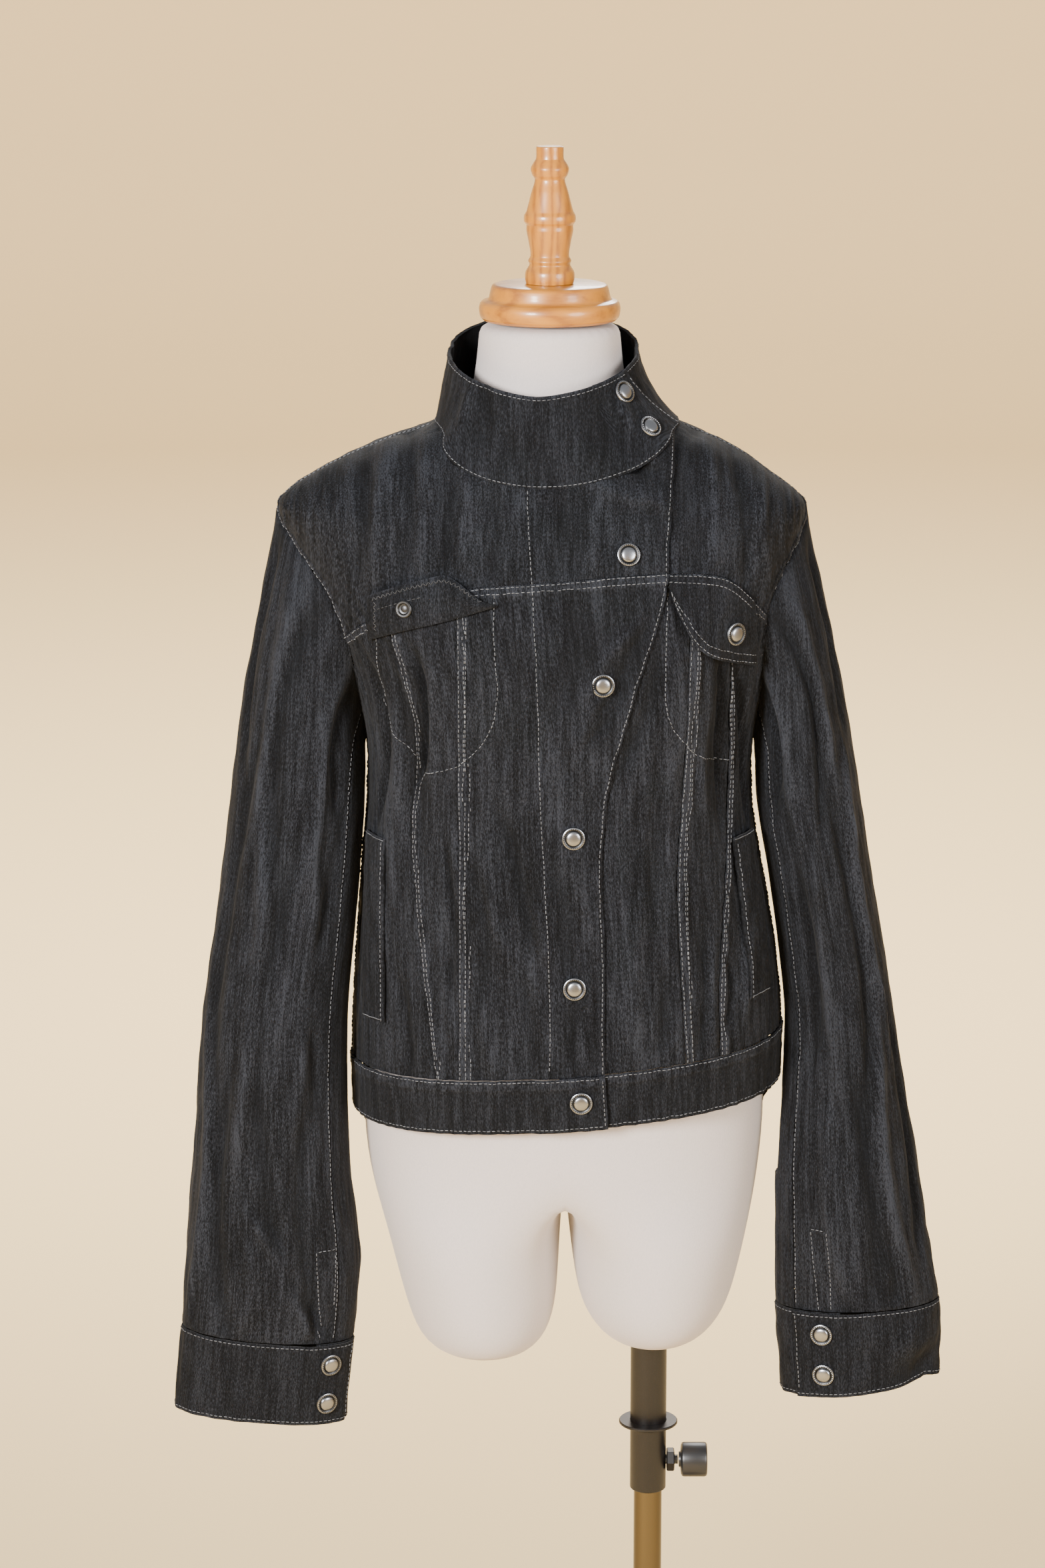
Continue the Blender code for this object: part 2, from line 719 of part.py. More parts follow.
COLLAR_TOP_HALF = 0.0700
COLLAR_TOP_FRONT = 0.0720
COLLAR_TOP_BACK = 0.0660
COLLAR_TOP_X = -0.0825
COLLAR_FRONT_TOP = 1.4275
COLLAR_BACK_RISE = 0.044
COLLAR_UNDER_END = math.radians(30)
COLLAR_OVER_LOW = math.radians(360 + 70)
COLLAR_OVER_HIGH = math.radians(360 + 57)


def collar_point(turn, share):
    height = neck_height(turn)
    low = body_point(turn, height, overlap_lift(turn, height) if turn > math.pi else 0.0)
    depth = COLLAR_TOP_FRONT if math.cos(turn) >= 0 else COLLAR_TOP_BACK
    x = COLLAR_TOP_X + COLLAR_TOP_HALF * math.sin(turn)
    y = -depth * math.cos(turn)
    away = (1.0 - math.cos(turn + math.radians(4))) / 2
    z = COLLAR_FRONT_TOP + COLLAR_BACK_RISE * away ** 0.75
    high = Vector((x, y, z))
    bow = 0.002 * math.sin(math.pi * share)
    flat = Vector((math.sin(turn), -math.cos(turn), 0.0))
    inward = 1.0 - (1.0 - share) ** 2
    return Vector((mix(low.x, high.x, inward), mix(low.y, high.y, inward), mix(low.z, high.z, share))) + flat * bow


def collar_normal(turn, share):
    across = collar_point(turn + 0.02, share) - collar_point(turn - 0.02, share)
    up = collar_point(turn, share + 0.02) - collar_point(turn, share - 0.02)
    return across.cross(up).normalized()


def collar_lift(turn):
    return BAND_RISE + 0.0018 * ease((turn - math.radians(362)) / math.radians(24))


def add_collar():
    rows = 4
    outer = []
    inner = []
    whole_steps = round((COLLAR_OVER_LOW - COLLAR_UNDER_END) / NECK_STEP) - 1
    for row in range(rows + 1):
        share = mix(0.024, 1.0, row / rows)
        turns = [COLLAR_UNDER_END + step * NECK_STEP for step in range(whole_steps)]
        turns.append(mix(COLLAR_OVER_LOW, COLLAR_OVER_HIGH, share))
        outer_row = []
        inner_row = []
        for turn in turns:
            normal = collar_normal(turn, share)
            point = collar_point(turn, share) + normal * collar_lift(turn)
            if row == 0:
                # The lower edge's wall is level, so it stays off the cloth below it.
                normal = Vector((normal.x, normal.y, 0.0)).normalized()
            outer_row.append(point)
            inner_row.append(point - normal * BAND_WALL)
        outer.append(outer_row)
        inner.append(inner_row)
    add_shell("collar", outer, inner, "denim")


# ---------------------------------------------------------------- sleeves and cuffs
# A place on a sleeve is (turn, share): turn 0 faces the body, 90 degrees the front;
# share 0 is the armhole, 1 is the cuff's seam, and the cuff goes on past it.

FRONT_SEAM = math.radians(38)
BACK_SEAM = math.radians(310)
LEVEL_SHARE = 0.36


def armhole_place(turn, side):
    # Turn round the sleeve to a place on the armhole: 0 is the armpit, 180 the shoulder tip.
    share = (1.0 - math.cos(turn)) / 2
    height = mix(ARM_BOTTOM, ARM_TOP, share)
    back = math.sin(turn) < 0
    return arm_turn(height, side, back), height


def armhole_point(turn, side):
    place = armhole_place(turn, side)
    return body_point(*place)


def sleeve_section(table, turn, height):
    inner = read_table(table, "height", "inner", height)
    outer = read_table(table, "height", "outer", height)
    front = read_table(table, "height", "front", height)
    back = read_table(table, "height", "back", height)
    x = mix(inner, outer, (1.0 - math.cos(turn)) / 2)
    y = mix(back, front, (1.0 + math.sin(turn)) / 2)
    return x, y


def body_edge(y, height, side):
    # x of the body's side at a given depth.
    centre = read_table(BODY, "height", "centre", height)
    half = read_table(BODY, "height", "half", height)
    depth = read_table(BODY, "height", "front" if y < 0 else "back", height)
    inside = max(0.0, 1.0 - (y / (depth * 1.06)) ** 2)
    return centre + side * half * math.sqrt(inside)


def sleeve_point(turn, share, side):
    table = RIGHT_SLEEVE if side < 0 else LEFT_SLEEVE
    cuff_seam = cuff_seam_height(turn, side)
    start = armhole_point(turn, side)
    if share < LEVEL_SHARE:
        part = share / LEVEL_SHARE
        height = mix(start.z, SLEEVE_LEVEL, part)
        x, y = sleeve_section(table, turn, height)
        blend = 1.0 - (1.0 - part) ** 5
        x = mix(start.x, x, blend)
        y = mix(start.y, y, blend)
        clear = SLEEVE_CLEAR * ease(part / 0.15)
    else:
        part = (share - LEVEL_SHARE) / (1.0 - LEVEL_SHARE)
        height = mix(SLEEVE_LEVEL, cuff_seam, part)
        x, y = sleeve_section(table, turn, height)
        clear = SLEEVE_CLEAR
    facing = math.cos(turn)
    if facing > 0 and height > HEM_HEIGHT - BACK_DROOP:
        edge = body_edge(y, max(height, HEM_HEIGHT), side) + side * clear
        x = min(x, edge) if side < 0 else max(x, edge)
    return Vector((x, y, height))


def sleeve_normal(turn, share, side):
    low = max(share - 0.01, 0.0)
    around = sleeve_point(turn + 0.04, share, side) - sleeve_point(turn - 0.04, share, side)
    down = sleeve_point(turn, share + 0.01, side) - sleeve_point(turn, low, side)
    return (around.cross(down) * -side).normalized()


# A cuff's heights by side: its seam and its edge, at the inner and the outer end.
CuffRow = namedtuple("CuffRow", "seam_in seam_out edge_in edge_out over_end snap_turn")
CUFF = {
    -1: CuffRow(0.702, 0.712, 0.637, 0.646, 16, 42),
    1: CuffRow(0.727, 0.731, 0.657, 0.668, 38, 62),
}


def cuff_seam_height(turn, side):
    return mix(CUFF[side].seam_in, CUFF[side].seam_out, (1.0 - math.cos(turn)) / 2)


def cuff_edge_height(turn, side):
    return mix(CUFF[side].edge_in, CUFF[side].edge_out, (1.0 - math.cos(turn)) / 2)


def sleeve_start(turn, side):
    # First ring: just off the armhole's edge, and the way in for the wall there.
    place = armhole_place(turn, side)
    out = body_normal(*place)
    before = armhole_point(turn - 0.05, side)
    after = armhole_point(turn + 0.05, side)
    along = (after - before).normalized()
    hole = along.cross(out).normalized()
    middle = body_point(side * math.pi / 2, (ARM_BOTTOM + ARM_TOP) / 2)
    here = armhole_point(turn, side)
    if hole.dot(middle - here) < 0:
        hole = -hole
    inward = -sleeve_normal(turn, 0.02, side)
    toward_panel = inward.dot(hole)
    if toward_panel < 0:
        inward = (inward - hole * toward_panel).normalized()
    return here + out * 0.0008 + hole * (3 * SEAM_GAP), inward


def sleeve_grid(first, last, columns, side):
    shares = [LEVEL_SHARE * row / 7 for row in range(8)]
    shares += [mix(LEVEL_SHARE, 0.9994, row / 7) for row in range(1, 8)]
    outer = []
    inner = []
    for share in shares:
        outer_row = []
        inner_row = []
        for column in range(columns + 1):
            turn = mix(first, last, column / columns)
            if column == 0:
                turn += 0.003
            if column == columns:
                turn -= 0.003
            if share == 0.0:
                point, inward = sleeve_start(turn, side)
            else:
                point = sleeve_point(turn, share, side)
                inward = -sleeve_normal(turn, share, side)
            outer_row.append(point)
            inner_row.append(point + inward * CLOTH_WALL)
        outer.append(outer_row)
        inner.append(inner_row)
    return outer, inner


def add_sleeve(side_name, side):
    outer, inner = sleeve_grid(FRONT_SEAM, BACK_SEAM, 13, side)
    add_shell(side_name + "_sleeve_top", outer, inner, "denim", flip=side > 0)
    outer, inner = sleeve_grid(BACK_SEAM - 2 * math.pi, FRONT_SEAM, 5, side)
    add_shell(side_name + "_sleeve_under", outer, inner, "denim", flip=side > 0)


def cuff_point(turn, share, side):
    table = RIGHT_SLEEVE if side < 0 else LEFT_SLEEVE
    height = mix(cuff_seam_height(turn, side) - SEAM_GAP, cuff_edge_height(turn, side), share)
    x, y = sleeve_section(table, turn, height)
    return Vector((x, y, height))


def cuff_normal(turn, share, side):
    around = cuff_point(turn + 0.04, share, side) - cuff_point(turn - 0.04, share, side)
    down = cuff_point(turn, share + 0.02, side) - cuff_point(turn, share - 0.02, side)
    return (around.cross(down) * -side).normalized()


CUFF_LAP = math.radians(38)    # how far the cuff's ends lie over each other


def cuff_lift(turn, side):
    past_lap = turn - math.radians(CUFF[side].over_end) - CUFF_LAP
    return BAND_RISE + (BAND_WALL + 0.0010) * (1.0 - ease(past_lap / math.radians(30)))


def add_cuff(side_name, side):
    columns = 18
    rows = 2
    over_end = math.radians(CUFF[side].over_end)
    outer = []
    inner = []
    for row in range(rows + 1):
        outer_row = []
        inner_row = []
        for column in range(columns + 1):
            turn = over_end + (2 * math.pi + CUFF_LAP) * column / columns
            normal = cuff_normal(turn, row / rows, side)
            point = cuff_point(turn, row / rows, side) + normal * cuff_lift(turn, side)
            outer_row.append(point)
            inner_row.append(point - normal * BAND_WALL)
        outer.append(outer_row)
        inner.append(inner_row)
    add_shell(side_name + "_cuff", outer, inner, "denim", flip=side > 0)


# ---------------------------------------------------------------- pieces on the panels

FLAP_WALL = 0.0020


def add_left_flap():
    # Hangs down from the yoke seam; its inner end is slanted, its free edge stands off a little.
    columns = 6
    rows = 3
    outer = []
    inner = []
    for row in range(rows + 1):
        down = row / rows
        outer_row = []
        inner_row = []
        for column in range(columns + 1):
            share = column / columns
            across = mix(0.0075 + 0.020 * down ** 0.8, 0.0700, share)
            top = yoke_height(across) - 0.0012
            length = mix(0.050, 0.043, share)
            height = top - length * down
            place = (turn_at(across, height), height)
            lift = 0.0030 + 0.0035 * down
            normal = body_normal(*place)
            point = body_point(*place, lift)
            outer_row.append(point)
            inner_row.append(point - normal * FLAP_WALL)
        outer.append(outer_row)
        inner.append(inner_row)
    add_shell("left_chest_flap", outer, inner, "denim", flip=True)


def add_right_flap():
    # Turned up over the yoke, so that its underside faces out; its front tip curls down.
    columns = 7
    rows = 4
    outer = []
    inner = []
    for row in range(rows + 1):
        up = row / rows
        outer_row = []
        inner_row = []
        for column in range(columns + 1):
            share = column / columns
            across = mix(-0.2080, -0.1170, share)
            low = yoke_height(across) - 0.0150 - 0.006 * math.sin(math.pi * share)
            reach = 0.034 * (1.0 - 0.92 * ease((share - 0.55) / 0.45))
            height = low + reach * up
            place = (turn_at(across, height), height)
            lift = 0.0030 + 0.0040 * math.sin(math.pi * mix(0.12, 0.85, up))
            normal = body_normal(*place)
            point = body_point(*place, lift)
            outer_row.append(point)
            inner_row.append(point - normal * FLAP_WALL)
        outer.append(outer_row)
        inner.append(inner_row)
    add_shell("right_chest_flap", outer, inner, "denim")


WeltRow = namedtuple("WeltRow", "height outer_turn inner_turn")
WELT = (
    WeltRow(0.968, 67.5, 56.0),
    WeltRow(1.040, 72.5, 58.0),
    WeltRow(1.098, 75.5, 59.5),
)
WELT_RISE = 0.0042
WELT_WALL = 0.0018


def add_welt(name, side):
    # A narrow welt that stands over the side pocket's mouth.
    outer = []
    inner = []
    for row in range(5):
        height = mix(WELT[0].height, WELT[-1].height, row / 4)
        outer_row = []
        inner_row = []
        for column in range(3):
            degrees = mix(
                read_table(WELT, "height", "outer_turn", height),
                read_table(WELT, "height", "inner_turn", height),
                column / 2,
            )
            place = (side * math.radians(degrees), height)
            normal = body_normal(*place)
            point = body_point(*place, WELT_RISE)
            outer_row.append(point)
            inner_row.append(point - normal * WELT_WALL)
        outer.append(outer_row)
        inner.append(inner_row)
    add_shell(name, outer, inner, "denim", flip=side > 0)


# ---------------------------------------------------------------- snaps


def add_snap(name, place, normal):
    # A round cap: flat back, rolled edge and a low dome.
    profile = ((0.0, 0.80), (0.25, 1.0), (0.62, 0.93), (0.82, 0.55))
    guide = Vector((0, 0, 1)) if abs(normal.z) < 0.9 else Vector((1, 0, 0))
    across = guide.cross(normal).normalized()
    up = normal.cross(across)
    points = []
    for rise, radius in profile:
        for side in range(SNAP_SIDES):
            turn = 2 * math.pi * side / SNAP_SIDES
            spoke = across * math.cos(turn) + up * math.sin(turn)
            points.append(place + normal * (rise * SNAP_HEIGHT) + spoke * (radius * SNAP_RADIUS))
    points.append(place + normal * SNAP_HEIGHT)
    faces = []
    for ring in range(len(profile) - 1):
        for side in range(SNAP_SIDES):
            after = (side + 1) % SNAP_SIDES
            a = ring * SNAP_SIDES
            faces.append((a + side, a + after, a + SNAP_SIDES + after, a + SNAP_SIDES + side))
    faces.append(tuple(range(SNAP_SIDES - 1, -1, -1)))
    last = (len(profile) - 1) * SNAP_SIDES
    for side in range(SNAP_SIDES):
        faces.append((last + side, last + (side + 1) % SNAP_SIDES, len(points) - 1))
    add_object(name, points, faces, "snap_metal")


SnapRow = namedtuple("SnapRow", "name across height stand")
BODY_SNAPS = (
    SnapRow("snap_front_1", -0.0220, 1.316, 0.0009),
    SnapRow("snap_front_2", -0.0400, 1.224, 0.0009),
    SnapRow("snap_front_3", -0.0610, 1.110, 0.0009),
    SnapRow("snap_front_4", -0.0600, 0.997, 0.0009),
    SnapRow("snap_waistband", -0.0550, 0.911, 0.0022),
    SnapRow("snap_left_flap", 0.0540, 1.256, 0.0090),
)


def add_body_snaps():
    for row in BODY_SNAPS:
        place = (turn_at(row.across, row.height), row.height)
        lift = row.stand
        if row.across < 0:
            lift += OVERLAP_RISE
        add_snap(row.name, body_point(*place, lift), body_normal(*place))
    place = (turn_at(-0.181, 1.277), 1.277)
    add_snap("snap_right_flap_socket", body_point(*place, 0.0082), body_normal(*place))


def add_collar_snaps():
    for name, degrees, share in (("snap_collar_top", 48.0, 0.71), ("snap_collar_tip", 45.0, 0.20)):
        turn = math.radians(360 + degrees)
        normal = collar_normal(turn, share)
        lift = collar_lift(turn) + 0.0008
        add_snap(name, collar_point(turn, share) + normal * lift, normal)


def add_cuff_snaps(side_name, side):
    for number, share in ((1, 0.24), (2, 0.72)):
        turn = math.radians(CUFF[side].snap_turn)
        normal = cuff_normal(turn, share, side)
        lift = cuff_lift(turn, side) + 0.0010
        add_snap(side_name + "_cuff_snap_" + str(number), cuff_point(turn, share, side) + normal * lift, normal)


# ---------------------------------------------------------------- dress form

FORM_SIDES = 24
CROTCH_HEIGHT = 0.822


def form_ring(row):
    ring = []
    for side in range(FORM_SIDES):
        turn = 2 * math.pi * side / FORM_SIDES
        depth = row.front if math.cos(turn) >= 0 else row.back
        x = row.centre + row.half * math.sin(turn)
        ring.append((x, -depth * math.cos(turn) * (1 + 0.1 * math.sin(turn) ** 2), row.height))
    return ring


def add_form():
    # The trunk's lowest ring divides along the crotch into the two stumps' first rings.
    points = []
    faces = []
    rings = []
    for row in FORM_TRUNK:
        rings.append(list(range(len(points), len(points) + FORM_SIDES)))
        points += form_ring(row)
    for low, high in zip(rings, rings[1:]):
        for side in range(FORM_SIDES):
            after = (side + 1) % FORM_SIDES
            faces.append((low[side], low[after], high[after], high[side]))
    faces.append(tuple(rings[-1]))
    half = FORM_SIDES // 2
    front_y = points[0][1]
    back_y = points[half][1]
    crotch = []
    for step in range(1, 4):
        crotch.append(len(points))
        points.append((-0.0662, mix(back_y, front_y, step / 4), CROTCH_HEIGHT - 0.004 + 0.008 * abs(step - 2) / 2))
    left_ring = rings[0][: half + 1] + crotch
    right_ring = rings[0][half:] + [rings[0][0]] + crotch[::-1]
    for ring, table in ((left_ring, LEFT_STUMP), (right_ring, RIGHT_STUMP)):
        above = ring
        for row in table:
            centre_x = (row.inner + row.outer) / 2
            centre_y = (row.front + row.back) / 2
            half_x = abs(row.outer - row.inner) / 2
            half_y = abs(row.back - row.front) / 2
            below = []
            for index in above:
                x, y, _ = points[index]
                below.append(len(points))
                points.append((x, y, row.height))
            # Even turns, starting from the stump's own front point.
            count = len(below)
            for step, index in enumerate(below):
                turn = 2 * math.pi * step / count - STUMP_START[ring is right_ring]
                points[index] = (
                    centre_x + half_x * math.sin(turn),
                    centre_y - half_y * math.cos(turn),
                    row.height,
                )
            for step in range(count):
                after = (step + 1) % count
                faces.append((above[after], above[step], below[step], below[after]))
            above = below
        faces.append(tuple(reversed(above)))
    return add_object("dress_form", points, faces, "jersey")


STUMP_START = {False: math.radians(40), True: math.radians(-140)}


# ---------------------------------------------------------------- stand


def add_tube_like(name, low, high, outer, bore, finish, sides=20):
    points = []
    faces = []
    for height, radius in ((low, outer), (high, outer), (high, bore), (low, bore)):
        for side in range(sides):
            turn = 2 * math.pi * side / sides
            points.append((radius * math.cos(turn), radius * math.sin(turn), height))
    for ring in range(4):
        for side in range(sides):
            after = (side + 1) % sides
            a = ring * sides
            b = ((ring + 1) % 4) * sides
            faces.append((a + side, a + after, b + after, b + side))
    return add_object(name, points, faces, finish)


def add_bar(name, first, last, radius, finish, sides=16, bore=0.0, wave=0.0):
    # A bar along X at the clamp's height, with an optional bore or a fluted edge.
    points = []
    faces = []
    stations = [(first, radius), (last, radius)]
    if bore:
        stations += [(last, bore), (first, bore)]
    for x, size in stations:
        for side in range(sides):
            turn = 2 * math.pi * side / sides
            reach = size * (1.0 - wave * (side % 2)) if size == radius else size
            points.append((x, reach * math.sin(turn), CLAMP_HEIGHT + reach * math.cos(turn)))
    count = len(stations)
    for ring in range(count if bore else count - 1):
        for side in range(sides):
            after = (side + 1) % sides
            a = ring * sides
            b = ((ring + 1) % count) * sides
            faces.append((a + side, b + side, b + after, a + after))
    if not bore:
        faces.append(tuple(range(sides)))
        faces.append(tuple(sides + side for side in range(sides - 1, -1, -1)))
    return add_object(name, points, faces, finish)


def add_cutter(name, points, faces):
    cutter = add_object(name, points, faces, "zinc", smooth=False)
    cutter.hide_render = True
    cutter.display_type = "WIRE"
    return cutter


def cut_with(item, cutter):
    cut = item.modifiers.new("cut", "BOOLEAN")
    cut.operation = "DIFFERENCE"
    cut.solver = "EXACT"
    cut.object = cutter


def round_cutter(name, low, high, radius, along_x=False, sides=20):
    points = []
    for place in (low, high):
        for side in range(sides):
            turn = 2 * math.pi * side / sides
            a = radius * math.cos(turn)
            b = radius * math.sin(turn)
            points.append((place, a, CLAMP_HEIGHT + b) if along_x else (a, b, place))
    faces = []
    for side in range(sides):
        after = (side + 1) % sides
        faces.append((side, after, sides + after, sides + side))
    faces.append(tuple(range(sides - 1, -1, -1)))
    faces.append(tuple(sides + side for side in range(sides)))
    return add_cutter(name, points, faces)


def add_stand(form):
    add_turned("base", BASE_PROFILE, 0.0, "brown_steel", 40, bore=(POLE_RADIUS + SEAM_GAP, 0.006))
    pole = (TurnRow(0.0063, POLE_RADIUS), TurnRow(POLE_TOP, POLE_RADIUS))
    add_turned("pole", pole, 0.0, "brass", 20)
    tube = add_tube_like("stand_tube", TUBE_BOTTOM, TUBE_TOP, TUBE_RADIUS, TUBE_BORE, "brown_steel")
    cut_with(tube, round_cutter("cutter_screw", 0.005, 0.020, 0.0044, True, 12))
    cut_with(form, round_cutter("cutter_tube", 0.60, TUBE_TOP + 0.004, TUBE_RADIUS + SEAM_GAP))
    add_tube_like("tube_ring", RING_HEIGHT - 0.0012, RING_HEIGHT + 0.0012, 0.0228, TUBE_RADIUS + SEAM_GAP, "brown_steel")
    add_bar("clamp_nut", 0.0145, 0.0205, 0.0092, "brown_steel", 6, bore=0.0050)
    add_bar("clamp_screw", 0.0114, 0.0237, 0.0040, "zinc", 12)
    add_bar("clamp_knob", 0.0240, 0.0460, 0.0152, "black_plastic", 24, wave=0.08)
    add_turned("neck_cap", CAP_PROFILE, NECK_X, "wood", 28)
    add_turned("finial", FINIAL_PROFILE, NECK_X, "wood", 18)


def build():
    clear_scene()
    add_fronts()
    add_back()
    add_waistband()
    add_collar()
    for side_name, side in (("right", -1), ("left", 1)):
        add_sleeve(side_name, side)
        add_cuff(side_name, side)
        add_cuff_snaps(side_name, side)
        add_welt(side_name + "_welt", side)
    add_left_flap()
    add_right_flap()
    add_body_snaps()
    add_collar_snaps()
    add_stand(add_form())


build()
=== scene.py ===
import bpy
import math
import numpy as np
from mathutils import Matrix, Vector
from mathutils.bvhtree import BVHTree


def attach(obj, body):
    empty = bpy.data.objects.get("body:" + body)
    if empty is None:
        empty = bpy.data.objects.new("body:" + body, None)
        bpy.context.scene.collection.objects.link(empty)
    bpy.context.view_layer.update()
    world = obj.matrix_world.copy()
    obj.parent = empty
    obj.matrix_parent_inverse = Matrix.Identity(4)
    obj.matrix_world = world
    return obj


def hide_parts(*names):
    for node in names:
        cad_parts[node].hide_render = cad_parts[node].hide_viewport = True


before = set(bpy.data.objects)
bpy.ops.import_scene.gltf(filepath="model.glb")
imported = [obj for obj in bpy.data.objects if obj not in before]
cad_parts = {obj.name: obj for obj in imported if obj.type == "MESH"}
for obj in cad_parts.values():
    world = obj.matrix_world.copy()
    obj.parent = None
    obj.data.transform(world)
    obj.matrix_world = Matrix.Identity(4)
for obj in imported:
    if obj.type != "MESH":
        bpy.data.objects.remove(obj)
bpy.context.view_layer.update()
bpy.ops.object.select_all(action="DESELECT")
print("frame loaded")

# The same form as the part: a place on the body is (turn, height), turn 0 is the front
# and a quarter turn the wearer's left side. Metres throughout.

body = {
    "boxiness": 0.16,
    "hem": 0.888,
    "waistSeam": 0.930,
    "droop": 0.062,
    "droopEnds": 1.12,
    "tilt": 0.012,
    "neckFront": 1.3625,
    "neckRise": 0.038,
    "neckSpread": math.radians(40),
    "armBottom": 1.165,
    "armTop": 1.338,
    "armFront": math.radians(24),
    "armBack": math.radians(20),
    "backYoke": 1.290,
    "overlapRise": 0.0030,
    "overlapWidth": 0.036,
    "girth": 0.155,  # metres of cloth for one radian of turn
    "yokeMiddle": -0.0785,
    "yokeHalf": 0.1955,
    "straightFrom": 1.24,  # from here up the cloth keeps in line with x
    "straightOver": 0.05,
    # troughs get painted shade in the same measure, down to a set limit
    "fadeDepth": 0.007,  # a ridge of this height has faded fully
    # height, half width, front depth, back depth, centre
    "rows": (
        (0.885, 0.1625, 0.118, 0.112, -0.0640),
        (0.930, 0.1630, 0.120, 0.114, -0.0645),
        (0.980, 0.1600, 0.118, 0.112, -0.0655),
        (1.030, 0.1545, 0.115, 0.108, -0.0672),
        (1.080, 0.1485, 0.113, 0.104, -0.0695),
        (1.120, 0.1440, 0.112, 0.102, -0.0705),
        (1.165, 0.1450, 0.114, 0.103, -0.0700),
        (1.215, 0.1560, 0.117, 0.106, -0.0710),
        (1.250, 0.1680, 0.116, 0.108, -0.0745),
        (1.285, 0.1790, 0.110, 0.108, -0.0780),
        (1.315, 0.1900, 0.102, 0.105, -0.0810),
        (1.338, 0.1955, 0.094, 0.101, -0.0835),
        (1.350, 0.1860, 0.089, 0.097, -0.0840),
        (1.362, 0.1680, 0.0845, 0.092, -0.0830),
        (1.375, 0.1470, 0.079, 0.086, -0.0790),
        (1.388, 0.1190, 0.0725, 0.080, -0.0755),
        (1.398, 0.0930, 0.066, 0.074, -0.0725),
        (1.412, 0.0800, 0.056, 0.068, -0.0720),
    ),
    # broad folds: turn and height of the middle, reach each way, depth
    "folds": (
        (-48, 1.170, 7, 0.070, -0.0045),
        (-58, 1.120, 8, 0.090, 0.0040),
        (34, 1.180, 8, 0.060, 0.0035),
        (54, 1.180, 7, 0.070, -0.0050),
        (12, 1.240, 9, 0.050, -0.0030),
        (150, 1.060, 10, 0.090, 0.0040),
        (200, 1.100, 10, 0.100, -0.0040),
        (228, 1.060, 9, 0.080, 0.0035),
    ),
    # slight unevenness: stretch round and up, seed, size of the waves, depth
    "unevenness": ((1.7, 0.6, 3, 0.022, 0.00060), (1.4, 1.0, 8, 0.008, 0.00022)),
}
creaseShape = {"strength": 2.0, "bow": 0.05, "level": 0.30, "fade": 0.28}

# seams down the front: height, place across
seams = {
    "overlap": (
        (0.885, -0.0345), (0.930, -0.0375), (1.024, -0.0380), (1.093, -0.0400), (1.146, -0.0350),
        (1.217, -0.0160), (1.286, 0.0050), (1.330, 0.0085), (1.404, 0.0140),
    ),
    "rightOuter": (
        (0.930, -0.1620), (0.980, -0.1680), (1.040, -0.1750), (1.107, -0.1800), (1.184, -0.1790),
        (1.262, -0.1960),
    ),
    "rightInner": ((0.930, -0.1450), (1.138, -0.1450), (1.280, -0.1460)),
    "leftInner": ((0.930, 0.0230), (1.001, 0.0185), (1.073, 0.0155), (1.145, 0.0185), (1.295, 0.0250)),
    "leftOuter": ((0.930, 0.0490), (0.987, 0.0480), (1.093, 0.0535), (1.161, 0.0560), (1.290, 0.0600)),
}
seams["under"] = tuple((height, across - body["overlapWidth"]) for height, across in seams["overlap"])

# the front yoke's seam: place across, height
yokeSeam = (
    (-0.232, 1.244), (-0.216, 1.260), (-0.180, 1.281), (-0.140, 1.292), (-0.100, 1.296),
    (0.006, 1.302), (0.046, 1.298), (0.062, 1.287), (0.092, 1.251),
)

quarter = math.pi / 2


def ease(value):
    value = np.clip(value, 0.0, 1.0)
    return value * value * (3.0 - 2.0 * value)


def mix(first, second, share):
    return first + (second - first) * share


def readTable(rows, column, value):
    # smooth curve through one column of a table
    data = np.array(sorted(rows), float)
    keys, levels = data[:, 0], data[:, column]
    slopes = np.empty_like(levels)
    slopes[1:-1] = (levels[2:] - levels[:-2]) / (keys[2:] - keys[:-2])
    slopes[0] = (levels[1] - levels[0]) / (keys[1] - keys[0])
    slopes[-1] = (levels[-1] - levels[-2]) / (keys[-1] - keys[-2])
    value = np.clip(value, keys[0], keys[-1])
    at = np.clip(np.searchsorted(keys, value, side="right") - 1, 0, len(keys) - 2)
    span = keys[at + 1] - keys[at]
    s = (value - keys[at]) / span
    return (
        (2 * s**3 - 3 * s**2 + 1) * levels[at]
        + (s**3 - 2 * s**2 + s) * slopes[at] * span
        + (3 * s**2 - 2 * s**3) * levels[at + 1]
        + (s**3 - s**2) * slopes[at + 1] * span
    )


def unit(vectors):
    return vectors / np.maximum(np.linalg.norm(vectors, axis=-1, keepdims=True), 1e-9)


def ripple(first, second, seed, size):
    # soft uneven waves, between -1 and 1, with features of about that size
    chance = np.random.default_rng(seed)
    total = 0.0
    for _ in range(6):
        way = chance.uniform(0, 2 * math.pi)
        pace = 2 * math.pi / (size * chance.uniform(0.7, 1.6))
        phase = chance.uniform(0, 2 * math.pi)
        total = total + np.sin(pace * (first * math.cos(way) + second * math.sin(way)) + phase)
    return total / 3.2


def creaseDepth(first, second, creases):
    # each crease: from, to, half width, depth; it bows a little and fades softly at both ends
    total = np.zeros(np.broadcast(first, second).shape)
    for fromA, fromB, toA, toB, width, depth in creases:
        spanA, spanB = toA - fromA, toB - fromB
        long = math.hypot(spanA, spanB)
        outA, outB = first - (fromA + toA) / 2, second - (fromB + toB) / 2
        along = np.abs(outA * spanA + outB * spanB) / long
        bend = creaseShape["bow"] * long * (1 - (2 * along / long) ** 2) * (1 if depth < 0 else -1)
        away = (outA * spanB - outB * spanA) / long + bend
        past = np.maximum(along - long * creaseShape["level"], 0) / (long * creaseShape["fade"])
        total += creaseShape["strength"] * depth * np.exp(-((away / width) ** 2) - past**2)
    return total


